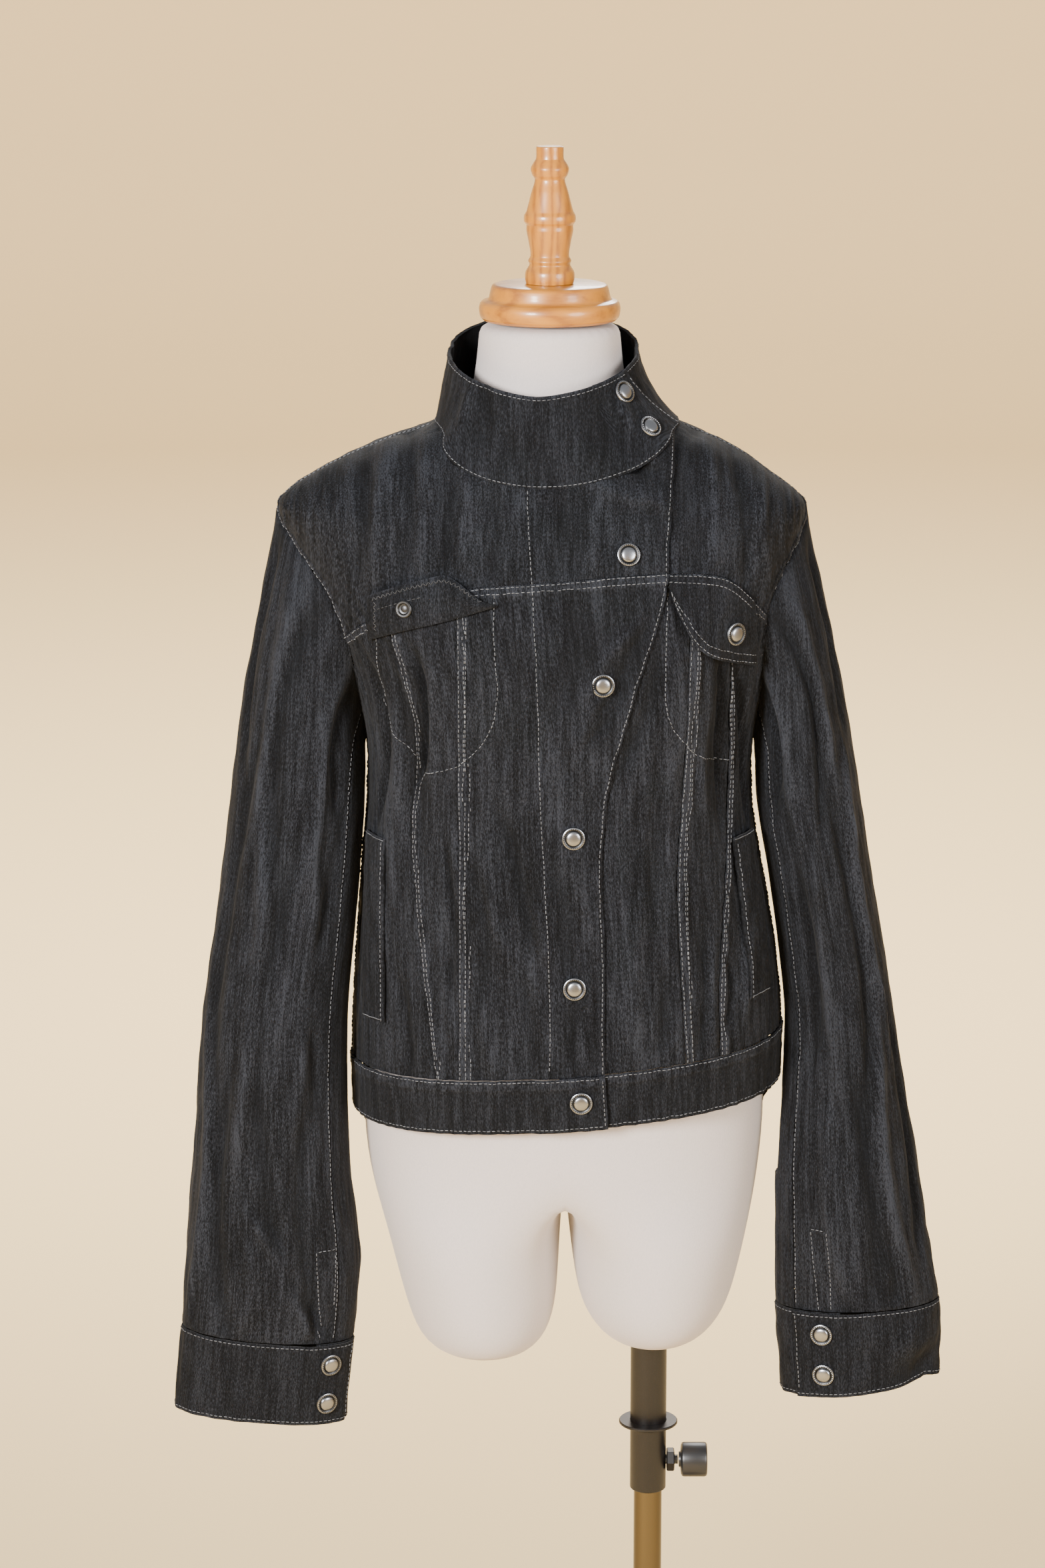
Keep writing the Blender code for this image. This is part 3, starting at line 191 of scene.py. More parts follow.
# the body's surface


def hemShift(turn, height):
    fade = 1.0 - ease((height - body["waistSeam"]) / (body["droopEnds"] - body["waistSeam"]))
    sideTurn = np.degrees(np.arccos(np.clip(np.cos(turn), -1, 1)))
    return (body["tilt"] * np.sin(turn) - body["droop"] * ease((sideTurn - 90.0) / 36.0)) * fade


def plainBody(turn, height):
    turn, height = np.asarray(turn, float), np.asarray(height, float)
    rows = body["rows"]
    sine, cosine = np.sin(turn), np.cos(turn)
    depth = np.where(cosine >= 0, readTable(rows, 2, height), readTable(rows, 3, height))
    x = readTable(rows, 4, height) + readTable(rows, 1, height) * sine
    y = -depth * cosine * (1.0 + body["boxiness"] * sine**2)
    return np.stack([x, y, height + hemShift(turn, height)], axis=-1)


def bodyNormal(turn, height, step=0.004):
    across = plainBody(turn + step, height) - plainBody(turn - step, height)
    up = plainBody(turn, height + step) - plainBody(turn, height - step)
    return unit(np.cross(across, up))


def turnAt(across, height):
    rows = body["rows"]
    return np.arcsin(np.clip((across - readTable(rows, 4, height)) / readTable(rows, 1, height), -1, 1))


# creases of the front: x and height of both ends, half width, depth
frontCreases = (
    (-0.212, 1.372, -0.220, 1.300, 0.0060, -0.0022),
    (-0.196, 1.386, -0.203, 1.296, 0.0065, 0.0020),
    (-0.181, 1.388, -0.186, 1.298, 0.0050, -0.0024),
    (-0.166, 1.388, -0.170, 1.305, 0.0060, 0.0018),
    (-0.150, 1.370, -0.155, 1.308, 0.0050, -0.0020),
    (-0.134, 1.360, -0.139, 1.306, 0.0060, 0.0014),
    (-0.118, 1.358, -0.121, 1.302, 0.0050, -0.0014),
    (-0.071, 1.358, -0.074, 1.306, 0.0060, -0.0012),
    (-0.040, 1.360, -0.046, 1.308, 0.0050, 0.0014),
    (-0.034, 1.378, 0.004, 1.371, 0.0035, -0.0026),
    (-0.046, 1.366, -0.004, 1.350, 0.0045, 0.0016),
    (0.020, 1.392, 0.026, 1.310, 0.0060, -0.0014),
    (0.040, 1.384, 0.044, 1.312, 0.0060, 0.0014),
    (0.058, 1.374, 0.066, 1.300, 0.0050, -0.0018),
    (0.078, 1.360, 0.082, 1.290, 0.0060, 0.0014),
    (-0.160, 1.384, -0.163, 1.330, 0.0035, -0.0012),
    (-0.104, 1.352, -0.107, 1.304, 0.0045, 0.0012),
    (-0.058, 1.352, -0.062, 1.306, 0.0045, -0.0012),
    (-0.020, 1.374, 0.006, 1.362, 0.0030, -0.0020),
    (-0.012, 1.360, 0.007, 1.346, 0.0035, 0.0014),
    (-0.006, 1.350, 0.006, 1.318, 0.0040, -0.0014),
    (0.012, 1.396, 0.016, 1.340, 0.0045, -0.0016),
    (0.031, 1.388, 0.035, 1.320, 0.0045, -0.0012),
    (-0.018, 1.236, -0.046, 1.186, 0.0040, -0.0014),
    (-0.034, 1.222, -0.058, 1.180, 0.0050, 0.0012),
    (-0.066, 1.170, -0.060, 1.110, 0.0050, -0.0012),
    (-0.106, 1.250, -0.112, 1.170, 0.0055, -0.0010),
    (-0.132, 1.080, -0.126, 1.000, 0.0045, -0.0014),
    (-0.086, 1.060, -0.078, 1.020, 0.0045, 0.0012),
    (-0.1750, 1.238, -0.1752, 1.150, 0.0042, -0.0036),
    (-0.1640, 1.236, -0.1650, 1.140, 0.0070, 0.0020),
    (-0.1900, 1.200, -0.1880, 1.130, 0.0060, 0.0020),
    (-0.2080, 1.225, -0.2020, 1.120, 0.0060, -0.0030),
    (-0.0100, 1.264, -0.0400, 1.206, 0.0045, -0.0022),
    (-0.0200, 1.262, -0.0520, 1.212, 0.0050, 0.0016),
    (0.0030, 1.250, -0.0250, 1.160, 0.0060, -0.0018),
    (-0.0600, 1.280, -0.0700, 1.210, 0.0070, -0.0012),
    (-0.1120, 1.120, -0.0930, 1.032, 0.0050, -0.0022),
    (-0.1240, 1.100, -0.1080, 1.020, 0.0060, 0.0014),
    (-0.0760, 1.090, -0.0660, 1.010, 0.0060, -0.0016),
    (-0.0540, 1.180, -0.0500, 1.050, 0.0060, 0.0012),
    (-0.0980, 1.000, -0.0940, 0.940, 0.0050, -0.0012),
    (-0.1250, 0.990, -0.1200, 0.938, 0.0050, 0.0014),
    (-0.0620, 0.980, -0.0640, 0.938, 0.0050, -0.0012),
    (-0.1540, 1.090, -0.1530, 0.990, 0.0035, -0.0014),
    (-0.1900, 1.000, -0.1820, 0.940, 0.0050, -0.0016),
    (0.0480, 1.238, 0.0505, 1.130, 0.0060, -0.0030),
    (0.0620, 1.225, 0.0680, 1.120, 0.0055, -0.0036),
    (0.0380, 1.200, 0.0380, 1.120, 0.0050, 0.0018),
    (0.0010, 1.180, -0.0020, 1.060, 0.0070, -0.0014),
    (0.0330, 1.030, 0.0350, 0.945, 0.0045, -0.0018),
    (0.0420, 1.010, 0.0430, 0.945, 0.0040, 0.0016),
    (0.0560, 1.000, 0.0540, 0.950, 0.0045, -0.0018),
    (0.0700, 1.020, 0.0680, 0.960, 0.0050, 0.0018),
    (-0.0100, 1.060, -0.0140, 0.950, 0.0070, 0.0014),
    (0.0060, 1.000, 0.0040, 0.945, 0.0050, -0.0014),
)

# creases of the back and sides: turn in degrees and height of both ends, half width, depth
backCreases = (
    (100, 1.160, 112, 1.060, 0.0080, -0.0035),
    (112, 1.240, 128, 1.140, 0.0080, -0.0030),
    (124, 1.160, 132, 1.020, 0.0100, 0.0030),
    (142, 1.120, 146, 0.960, 0.0090, -0.0030),
    (160, 1.250, 164, 1.150, 0.0080, 0.0022),
    (176, 1.100, 172, 0.960, 0.0110, -0.0028),
    (186, 1.260, 190, 1.160, 0.0080, -0.0018),
    (206, 1.080, 202, 0.950, 0.0100, 0.0026),
    (222, 1.230, 238, 1.130, 0.0080, -0.0030),
    (236, 1.120, 230, 0.980, 0.0090, -0.0030),
    (252, 1.160, 246, 1.060, 0.0080, 0.0028),
    (262, 1.140, 258, 1.020, 0.0070, -0.0030),
    (130, 1.370, 126, 1.300, 0.0070, -0.0018),
    (150, 1.380, 150, 1.305, 0.0070, 0.0016),
    (210, 1.380, 212, 1.305, 0.0070, -0.0018),
    (232, 1.370, 236, 1.300, 0.0070, 0.0016),
    (118, 1.000, 116, 0.900, 0.0070, -0.0024),
    (190, 1.000, 192, 0.900, 0.0080, 0.0020),
    (244, 1.000, 246, 0.900, 0.0070, -0.0024),
)


def bodyCreaseTable():
    # both tables, with their ends as metres of cloth and height
    table = []
    sources = (
        (frontCreases, turnAt),
        (backCreases, lambda degrees, height: math.radians(degrees)),
    )
    for creases, turnOf in sources:
        for fromPlace, fromZ, toPlace, toZ, width, depth in creases:
            first = float(clothPlace(turnOf(fromPlace, fromZ), fromZ))
            last = float(clothPlace(turnOf(toPlace, toZ), toZ))
            table.append((first, fromZ, last, toZ, width, depth))
    return table


def clothPlace(turn, height):
    # the same place in metres of cloth, from just behind the right side, by the front, round the back
    start = quarter + 0.02
    wrapped = np.mod(turn + start, 2 * math.pi) - start
    rows = body["rows"]
    x = readTable(rows, 4, height) + readTable(rows, 1, height) * np.sin(wrapped)
    level = np.arcsin(np.clip((x - body["yokeMiddle"]) / body["yokeHalf"], -1, 1))
    level = np.where(wrapped > quarter, math.pi - level, level)
    straight = ease((height - body["straightFrom"]) / body["straightOver"])
    return mix(wrapped, level, straight) * body["girth"]


bodyCreases = bodyCreaseTable()


def clothRelief(turn, height):
    # broad folds, placed creases and the cloth's own slight unevenness
    arc = clothPlace(turn, height)
    total = creaseDepth(arc, height, bodyCreases)
    for middleTurn, middleHeight, reach, tall, depth in body["folds"]:
        away = np.mod(np.degrees(turn) - middleTurn + 180.0, 360.0) - 180.0
        total = total + depth * np.exp(-((away / reach) ** 2) - ((height - middleHeight) / tall) ** 2)
    for stretchRound, stretchUp, seed, size, depth in body["unevenness"]:
        total = total + depth * ripple(arc * stretchRound, height * stretchUp, seed, size)
    # it lies flat along the shoulder seam
    fromShoulder = np.abs(np.cos(turn))
    onShoulder = ease((height - body["armTop"]) / 0.006)
    return total * (1 - onShoulder * (1 - ease(fromShoulder / 0.22)))


def bodySurface(turn, height, lift=0.0):
    depth = np.asarray(lift + clothRelief(turn, height))
    return plainBody(turn, height) + bodyNormal(turn, height) * depth[..., None]


def overlapLift(turn, height):
    # the right front rises where the left front lies under it
    across = plainBody(turn, height)[..., 0]
    edge = readTable(seams["overlap"], 1, height)
    return body["overlapRise"] * ease((across - edge + body["overlapWidth"] + 0.022) / 0.016)


def noLift(turn, height):
    return 0.0 * turn


def creaseWearAndShade(wear, relief):
    # the cloth fades on ridges as wear, and its troughs are darkened with painted shade
    return np.clip(wear + relief / body["fadeDepth"], -0.45, 1.0)


def armTurn(height, side, back=False):
    share = np.clip((height - body["armBottom"]) / (body["armTop"] - body["armBottom"]), 0, 1)
    reach = (body["armBack"] if back else body["armFront"]) * np.sin(math.pi * share**1.2)
    if not back:
        return side * (quarter - reach)
    return quarter + reach if side > 0 else 3 * quarter - reach


def neckHeight(turn):
    away = np.arccos(np.clip(np.cos(turn), -1, 1))
    behind = np.maximum(0.0, -np.cos(turn))
    rise = body["neckRise"] * (1.0 - np.exp(-((away / body["neckSpread"]) ** 2)))
    return body["neckFront"] + rise + 0.006 * behind


def yokeHeight(across):
    return readTable(yokeSeam, 1, across)


def meetYoke(table):
    height = 1.28
    for _ in range(8):
        height = float(yokeHeight(readTable(table, 1, height)))
    return height


def armMeetsYoke(side):
    height = 1.26
    for _ in range(12):
        height = mix(height, float(yokeHeight(plainBody(armTurn(height, side), height)[0])), 0.5)
    return height


# border lines, as rows of (turn, height)

fine = np.linspace(0, 1, 161)


def seamLine(table, low, high):
    height = mix(low, high, fine)
    return np.stack([turnAt(readTable(table, 1, height), height), height], axis=-1)


def yokeLine(first, last):
    across = mix(first, last, fine)
    height = yokeHeight(across)
    return np.stack([turnAt(across, height), height], axis=-1)


def levelLine(first, last, height):
    return np.stack([mix(first, last, fine), height + 0 * fine], axis=-1)


def sideLine(turn, low, high):
    return np.stack([turn + 0 * fine, mix(low, high, fine)], axis=-1)


def armLine(side, low, high, back=False):
    height = mix(low, high, fine)
    return np.stack([armTurn(height, side, back), height], axis=-1)


def neckLine(first, last):
    turn = mix(first, last, fine)
    return np.stack([turn, neckHeight(turn)], axis=-1)


def join(*lines):
    return np.concatenate([lines[0]] + [line[1:] for line in lines[1:]])


def reach(points):
    # length from the start to each point
    steps = np.linalg.norm(np.diff(points, axis=0), axis=-1)
    return np.concatenate([[0.0], np.cumsum(steps)])


def pathAt(path, far, place):
    return np.stack([np.interp(place, far, level) for level in path.T], axis=-1)


def along(line, shares):
    far = reach(plainBody(line[:, 0], line[:, 1]))
    return pathAt(line, far, shares * far[-1])


def gridShares(length, step=0.0028):
    # closer together at both ends, where the seam's turnings lie
    near = np.array([0.00015, 0.0009, 0.0019, 0.0040, 0.0062, 0.0076, 0.0088]) / length
    count = max(3, int((length - 0.0176) / step) + 1)
    return np.concatenate([near, np.linspace(near[-1], 1 - near[-1], count)[1:-1], 1 - near[::-1]])


def coons(bottom, top, start, end, us, vs):
    low, high = along(bottom, us)[None], along(top, us)[None]
    first, last = along(start, vs)[:, None], along(end, vs)[:, None]
    u, v = us[None, :, None], vs[:, None, None]
    corners = mix(mix(bottom[0], bottom[-1], u), mix(top[0], top[-1], u), v)
    return mix(low, high, v) + mix(first, last, u) - corners


# meshes


def gridNormals(points):
    across, up = np.gradient(points, axis=1), np.gradient(points, axis=0)
    return unit(np.cross(across, up))


def outwards(normals, fromAxis):
    return -normals if np.sum(normals * fromAxis) < 0 else normals


def addObject(name, data):
    item = bpy.data.objects.new(name, data)
    bpy.context.scene.collection.objects.link(item)
    return item


def gridUv(points):
    # metres of cloth across and along, measured through the middle of the grid
    rows, columns = points.shape[:2]
    across = reach(points[rows // 2])
    up = reach(points[:, columns // 2])
    return np.stack(np.broadcast_arrays(across[None, :], up[:, None]), axis=-1)


def wallMesh(name, outer, inner, uv, wear, material):
    # a sheet with a wall, from two equal grids, its faces outwards
    rows, columns = outer.shape[:2]
    count = rows * columns
    index = np.arange(count).reshape(rows, columns)
    a, b, c, d = index[:-1, :-1], index[:-1, 1:], index[1:, 1:], index[1:, :-1]
    front = np.stack([a, b, c, d], axis=-1).reshape(-1, 4)
    back = front[:, ::-1] + count
    rim = np.concatenate([index[0], index[1:, -1], index[-1, -2::-1], index[-2:0:-1, 0]])
    after = np.roll(rim, -1)
    side = np.stack([rim, rim + count, after + count, after], axis=-1)
    faces = np.concatenate([front, back, side])
    points = np.concatenate([outer.reshape(-1, 3), inner.reshape(-1, 3)])
    if np.sum((outer - inner) * gridNormals(outer)) < 0:
        faces = faces[:, ::-1]
    mesh = bpy.data.meshes.new(name)
    mesh.from_pydata(points.tolist(), [], faces.tolist())
    places = np.concatenate([uv.reshape(-1, 2)] * 2)
    corners = np.empty(len(mesh.loops), np.int32)
    mesh.loops.foreach_get("vertex_index", corners)
    layer = mesh.uv_layers.new(name="cloth")
    layer.data.foreach_set("uv", places[corners].astype(np.float32).ravel())
    # this attribute carries wear, and painted shade where it is negative
    wearAndShadeLayer = mesh.attributes.new("wear", "FLOAT", "POINT")
    both = np.concatenate([wear.ravel(), np.full(count, -1.0)])  # minus one marks the inside
    wearAndShadeLayer.data.foreach_set("value", both.astype(np.float32))
    mesh.shade_smooth()
    mesh.set_sharp_from_angle(angle=math.radians(50))
    mesh.materials.append(material)
    return addObject(name, mesh)


panels = {}


def addCloth(name, node, outer, plain, axis, wall, wear, uv=None):
    # outer and plain are the same grid with and without its creases
    normals = outwards(gridNormals(outer), outer - axis)
    uv = gridUv(plain) if uv is None else uv
    item = wallMesh(name, outer, outer - normals * wall, uv, wear, denim)
    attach(item, "form")
    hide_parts(node)
    panels[name] = {"tree": gridTree(outer), "outer": outer}


def gridTree(*grids):
    points, faces = [], []
    for grid in grids:
        rows, columns = grid.shape[:2]
        index = np.arange(rows * columns).reshape(rows, columns) + len(points)
        corners = (index[:-1, :-1], index[:-1, 1:], index[1:, 1:], index[1:, :-1])
        faces += np.stack(corners, -1).reshape(-1, 4).tolist()
        points += grid.reshape(-1, 3).tolist()
    return BVHTree.FromPolygons(points, faces)


# topstitching

stitch = {
    "pitch": 0.0037, "length": 0.0029, "halfWidth": 0.00031, "height": 0.00026, "lift": 0.00016, "seed": 11,
    "uneven": 0.00015, "lean": 0.05, "pathStep": 0.002, "smoothOver": 17,
}


class Sewing:
    # gathers stitches for one thread object
    def __init__(self, name, axisAt):
        self.name, self.axisAt, self.points, self.faces = name, axisAt, [], []
        self.chance = np.random.default_rng(stitch["seed"])

    def stitchAt(self, place, way, normal, length=None):
        side = np.cross(normal, way)
        start = len(self.points)
        half = (length or stitch["length"]) / 2
        for end in (-1.0, 1.0):
            self.points.append(place + way * half * end + normal * 0.00002)
        for end in (-0.62, 0.62):
            middle = place + way * half * end
            for turn in range(6):
                angle = math.pi * turn / 3
                lift = normal * (math.sin(angle) * stitch["height"] + stitch["lift"])
                self.points.append(middle + side * math.cos(angle) * stitch["halfWidth"] + lift)
        low, high = start + 2, start + 8
        for turn in range(6):
            after = (turn + 1) % 6
            self.faces.append((start, low + after, low + turn))
            self.faces.append((low + turn, low + after, high + after, high + turn))
            self.faces.append((start + 1, high + turn, high + after))

    def spotAt(self, tree, path, far, place, ahead):
        # the nearest place on the cloth, its outward direction and the way along the path
        here = pathAt(path, far, place)
        spot, normal, _, _ = tree.find_nearest(Vector(here))
        spot, normal = np.array(spot), np.array(normal)
        return spot, outwards(normal, spot - self.axisAt(spot)), pathAt(path, far, place + ahead) - here

    def sew(self, tree, path, offset=0.0, pitch=None, trim=(0.0, 0.0)):
        # a row of stitches at a distance from a path, on the near side of the cloth
        pitch = pitch or stitch["pitch"]
        path = np.asarray(path, float)
        far = reach(path)
        path = pathAt(path, far, np.arange(0, far[-1], stitch["pathStep"]))
        normals = np.array([tree.find_nearest(Vector(point))[1] for point in path])
        over = stitch["smoothOver"]
        padded = [np.pad(level, over // 2, mode="edge") for level in normals.T]
        normals = np.stack([np.convolve(level, np.full(over, 1 / over), "valid") for level in padded], -1)
        sides = unit(np.cross(normals, unit(np.gradient(path, axis=0))))
        best = None
        for sign in (1.0, -1.0) if offset else (1.0,):
            moved = path + sides * offset * sign
            miss = sum(tree.find_nearest(Vector(point))[3] for point in moved)
            if best is None or miss < best[0]:
                best = (miss, moved)
        path = best[1]
        far = reach(path)
        for place in np.arange(trim[0] + pitch / 2, far[-1] - trim[1] - pitch / 2, pitch):
            place += self.chance.uniform(-stitch["uneven"], stitch["uneven"])
            spot, normal, way = self.spotAt(tree, path, far, place, 0.0006)
            way = unit(way - normal * (way @ normal))
            lean = self.chance.uniform(-stitch["lean"], stitch["lean"])
            self.stitchAt(spot, unit(way + np.cross(normal, way) * lean), normal)

    def zigzag(self, tree, path, half, pace):
        # an overlocked edge: stitches leaning from side to side
        path = np.asarray(path, float)
        far = reach(path)
        corners = []
        for number, place in enumerate(np.arange(0, far[-1], pace)):
            spot, normal, way = self.spotAt(tree, path, far, place, 0.001)
            side = unit(np.cross(normal, unit(way)))
            corners.append((spot + side * half * (1 if number % 2 else -1), normal))
        for (first, normal), (last, _) in zip(corners, corners[1:]):
            span = last - first
            self.stitchAt((first + last) / 2, unit(span), normal, float(np.linalg.norm(span)))

    def finish(self, material):
        mesh = bpy.data.meshes.new(self.name)
        mesh.from_pydata([tuple(point) for point in self.points], [], self.faces)
        mesh.shade_smooth()
        mesh.materials.append(material)
        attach(addObject(self.name, mesh), "form")
        print(f"stitches {self.name}: {len(self.faces) // 18}")


# materials

finishes = {
    "denimDark": (0.0005, 0.0006, 0.0009),
    "denimLight": (0.0205, 0.0226, 0.0284),
    # the inside's colour, also the dark that painted shade pulls towards
    "denimInside": (0.0025, 0.0028, 0.0033),
    "thread": (0.130, 0.136, 0.148),
    "darkThread": (0.030, 0.031, 0.034),
    "jersey": (0.52, 0.465, 0.445),
    "woodPale": (0.47, 0.180, 0.013),
    "woodDark": (0.26, 0.085, 0.010),
    "brownSteel": (0.0024, 0.0016, 0.0016),
    "brass": (0.13, 0.102, 0.062),
    "zinc": (0.42, 0.42, 0.42),
    "snap": (0.27, 0.28, 0.30),
    "snapRim": (0.055, 0.056, 0.058),
    "plastic": (0.012, 0.012, 0.013),
    "floor": (0.90, 0.675, 0.36),
}


def newMaterial(name, roughness, metallic=0.0):
    made = bpy.data.materials.new(name)
    made.use_nodes = True
    shader = made.node_tree.nodes["Principled BSDF"]
    shader.inputs["Roughness"].default_value = roughness
    shader.inputs["Metallic"].default_value = metallic
    return made, made.node_tree, shader


def plainMaterial(name, colour, roughness, metallic=0.0):
    made, _, shader = newMaterial(name, roughness, metallic)
    shader.inputs["Base Color"].default_value = (*colour, 1)
    return made


def mapped(tree, source, scale, turn=0.0):
    mapping = tree.nodes.new("ShaderNodeMapping")
    mapping.inputs["Scale"].default_value = scale
    mapping.inputs["Rotation"].default_value = (0, 0, turn)
    tree.links.new(source, mapping.inputs["Vector"])
    return mapping.outputs["Vector"]


def noise(tree, vector, scale, detail, roughness=0.5):
    node = tree.nodes.new("ShaderNodeTexNoise")
    node.inputs["Scale"].default_value = scale
    node.inputs["Detail"].default_value = detail
    node.inputs["Roughness"].default_value = roughness
    tree.links.new(vector, node.inputs["Vector"])
    return node.outputs["Fac"]


def ramp(tree, fac, stops):
    node = tree.nodes.new("ShaderNodeValToRGB")
    while len(node.color_ramp.elements) < len(stops):
        node.color_ramp.elements.new(0.5)
    for element, (place, colour) in zip(node.color_ramp.elements, stops):
        element.position = place
        element.color = (*colour, 1)
    tree.links.new(fac, node.inputs["Fac"])
    return node.outputs["Color"]


def mathNode(tree, kind, first, second):
    node = tree.nodes.new("ShaderNodeMath")
    node.operation = kind
    for socket, value in zip(node.inputs, (first, second)):
        if isinstance(value, (int, float)):
            socket.default_value = value
        else:
            tree.links.new(value, socket)
    return node.outputs["Value"]


def bump(tree, shader, height, strength, distance):
    node = tree.nodes.new("ShaderNodeBump")
    node.inputs["Strength"].default_value = strength
    node.inputs["Distance"].default_value = distance
    tree.links.new(height, node.inputs["Height"])
    tree.links.new(node.outputs["Normal"], shader.inputs["Normal"])


# scale across, along and through the cloth, detail, roughness, turn in degrees, weight
denimNoise = {
    "streak": ((520, 34, 1), 3.0, 0.75, 0, 0.38),
    # painted shade: the band noise lays soft light and dark bands a few millimetres wide over the cloth's
    # uneven tone, standing in for the shading of small folds and crinkles
    "band": ((150, 8, 1), 2.0, 0.6, 0, 0.20),
    "broken": ((1300, 420, 1), 2.0, 0.6, 0, 0.42),
    "cloud": ((30, 10, 1), 2.0, 0.5, 0, 0.14),
    "twill": ((1500, 330, 1), 1.0, 0.5, 32, 0.26),
}


def denimMaterial(name):
    # dark warp with broken lighter streaks along the cloth's length, soft bands of painted fold shade, and a
    # fine twill
    made, tree, shader = newMaterial(name, 0.9)
    shader.inputs["Sheen Weight"].default_value = 0.03
    shader.inputs["Sheen Roughness"].default_value = 0.5
    shader.inputs["Specular IOR Level"].default_value = 0.12
    uv = tree.nodes.new("ShaderNodeUVMap")
    uv.uv_map = "cloth"
    parts, total = {}, 0.0
    for part, (scale, detail, roughness, degrees, weight) in denimNoise.items():
        vector = mapped(tree, uv.outputs["UV"], scale, math.radians(degrees))
        parts[part] = noise(tree, vector, 1.0, detail, roughness)
        total = mathNode(tree, "ADD", total, mathNode(tree, "MULTIPLY", parts[part], weight))
    wearAndShadeLayer = tree.nodes.new("ShaderNodeAttribute")
    wearAndShadeLayer.attribute_name = "wear"
    faded = mathNode(tree, "MAXIMUM", wearAndShadeLayer.outputs["Fac"], 0.0)
    total = mathNode(tree, "ADD", total, mathNode(tree, "MULTIPLY", faded, 0.10))
    dark, light = finishes["denimDark"], finishes["denimLight"]
    middle = tuple(mix(dark[i], light[i], 0.26) for i in range(3))
    colour = ramp(tree, total, ((0.60, dark), (0.70, middle), (0.82, light)))
    # painted shade: negative values from crease troughs and the band and flap shade pull the colour part way
    # to the inside colour; minus one, the inside, takes it in full
    inside = tree.nodes.new("ShaderNodeMix")
    inside.data_type = "RGBA"
    inside.inputs[6].default_value = (*finishes["denimInside"], 1)
    tree.links.new(mathNode(tree, "ADD", wearAndShadeLayer.outputs["Fac"], 1.0), inside.inputs[0])
    tree.links.new(colour, inside.inputs[7])
    tree.links.new(inside.outputs[2], shader.inputs["Base Color"])
    twill, streak = (mathNode(tree, "MULTIPLY", parts[part], 0.6) for part in ("twill", "streak"))
    bump(tree, shader, mathNode(tree, "ADD", twill, streak), 0.5, 0.0004)
    return made


def threadMaterial(name, thread):
    made, tree, shader = newMaterial(name, 0.7)
    place = tree.nodes.new("ShaderNodeTexCoord").outputs["Object"]
    uneven = noise(tree, place, 180.0, 1.0)
    darker = tuple(0.45 * level for level in thread)
    tree.links.new(ramp(tree, uneven, ((0.35, darker), (0.62, thread))), shader.inputs["Base Color"])
    return made


def woodMaterial(name, scale):
    # grain with a long pull along one axis, under a clear varnish
    made, tree, shader = newMaterial(name, 0.38)
    shader.inputs["Coat Weight"].default_value = 0.35
    shader.inputs["Coat Roughness"].default_value = 0.12
    place = tree.nodes.new("ShaderNodeTexCoord").outputs["Object"]
    rings = tree.nodes.new("ShaderNodeTexWave")
    rings.inputs["Scale"].default_value = 1.0
    rings.inputs["Distortion"].default_value = 7.0
    rings.inputs["Detail"].default_value = 3.0
    rings.inputs["Detail Scale"].default_value = 1.2
    tree.links.new(mapped(tree, place, scale), rings.inputs["Vector"])
    fibre = noise(tree, mapped(tree, place, tuple(9 * level for level in scale)), 1.0, 3.0, 0.6)
    rings = mathNode(tree, "MULTIPLY", rings.outputs["Fac"], 0.55)
    total = mathNode(tree, "ADD", rings, mathNode(tree, "MULTIPLY", fibre, 0.5))
    pale, dark = finishes["woodPale"], finishes["woodDark"]
    middle = tuple(mix(pale[i], dark[i], 0.35) for i in range(3))
    colour = ramp(tree, total, ((0.30, pale), (0.62, middle), (0.92, dark)))
    tree.links.new(colour, shader.inputs["Base Color"])
    return made


def jerseyMaterial():
    made, tree, shader = newMaterial("jersey", 0.92)
    shader.inputs["Sheen Weight"].default_value = 0.15
    place = tree.nodes.new("ShaderNodeTexCoord").outputs["Object"]
    knit = noise(tree, mapped(tree, place, (900, 900, 500)), 1.0, 2.0)
    jersey = finishes["jersey"]
    shade = tuple(0.93 * level for level in jersey)
    tree.links.new(ramp(tree, knit, ((0.3, shade), (0.7, jersey))), shader.inputs["Base Color"])
    bump(tree, shader, knit, 0.25, 0.0005)
    return made


def steelMaterial():
    # brown powder coat with a pale speckle
    made, tree, shader = newMaterial("brownSteel", 0.42)
    place = tree.nodes.new("ShaderNodeTexCoord").outputs["Object"]
    speck = noise(tree, place, 1400.0, 1.0)
    brown = finishes["brownSteel"]
    pale = tuple(4 * level for level in brown)
    tree.links.new(ramp(tree, speck, ((0.55, brown), (0.72, pale))), shader.inputs["Base Color"])
    bump(tree, shader, speck, 0.15, 0.0003)
    return made


denim = denimMaterial("denim")
threadGrey = threadMaterial("greyThread", finishes["thread"])
threadDark = threadMaterial("darkThread", finishes["darkThread"])
snapMetal = plainMaterial("snapMetal", finishes["snap"], roughness=0.30, metallic=1.0)
snapRim = plainMaterial("snapRim", finishes["snapRim"], roughness=0.42, metallic=1.0)
jerseyCloth = jerseyMaterial()
woodUpright = woodMaterial("woodUpright", (55, 55, 9))
woodFlat = woodMaterial("woodFlat", (7, 45, 60))
brownSteel = steelMaterial()
polishedBrass = plainMaterial("polishedBrass", finishes["brass"], roughness=0.16, metallic=1.0)
zincPlate = plainMaterial("zincPlate", finishes["zinc"], roughness=0.30, metallic=1.0)
blackPlastic = plainMaterial("blackPlastic", finishes["plastic"], roughness=0.38)
print("materials made")


# the body's panels

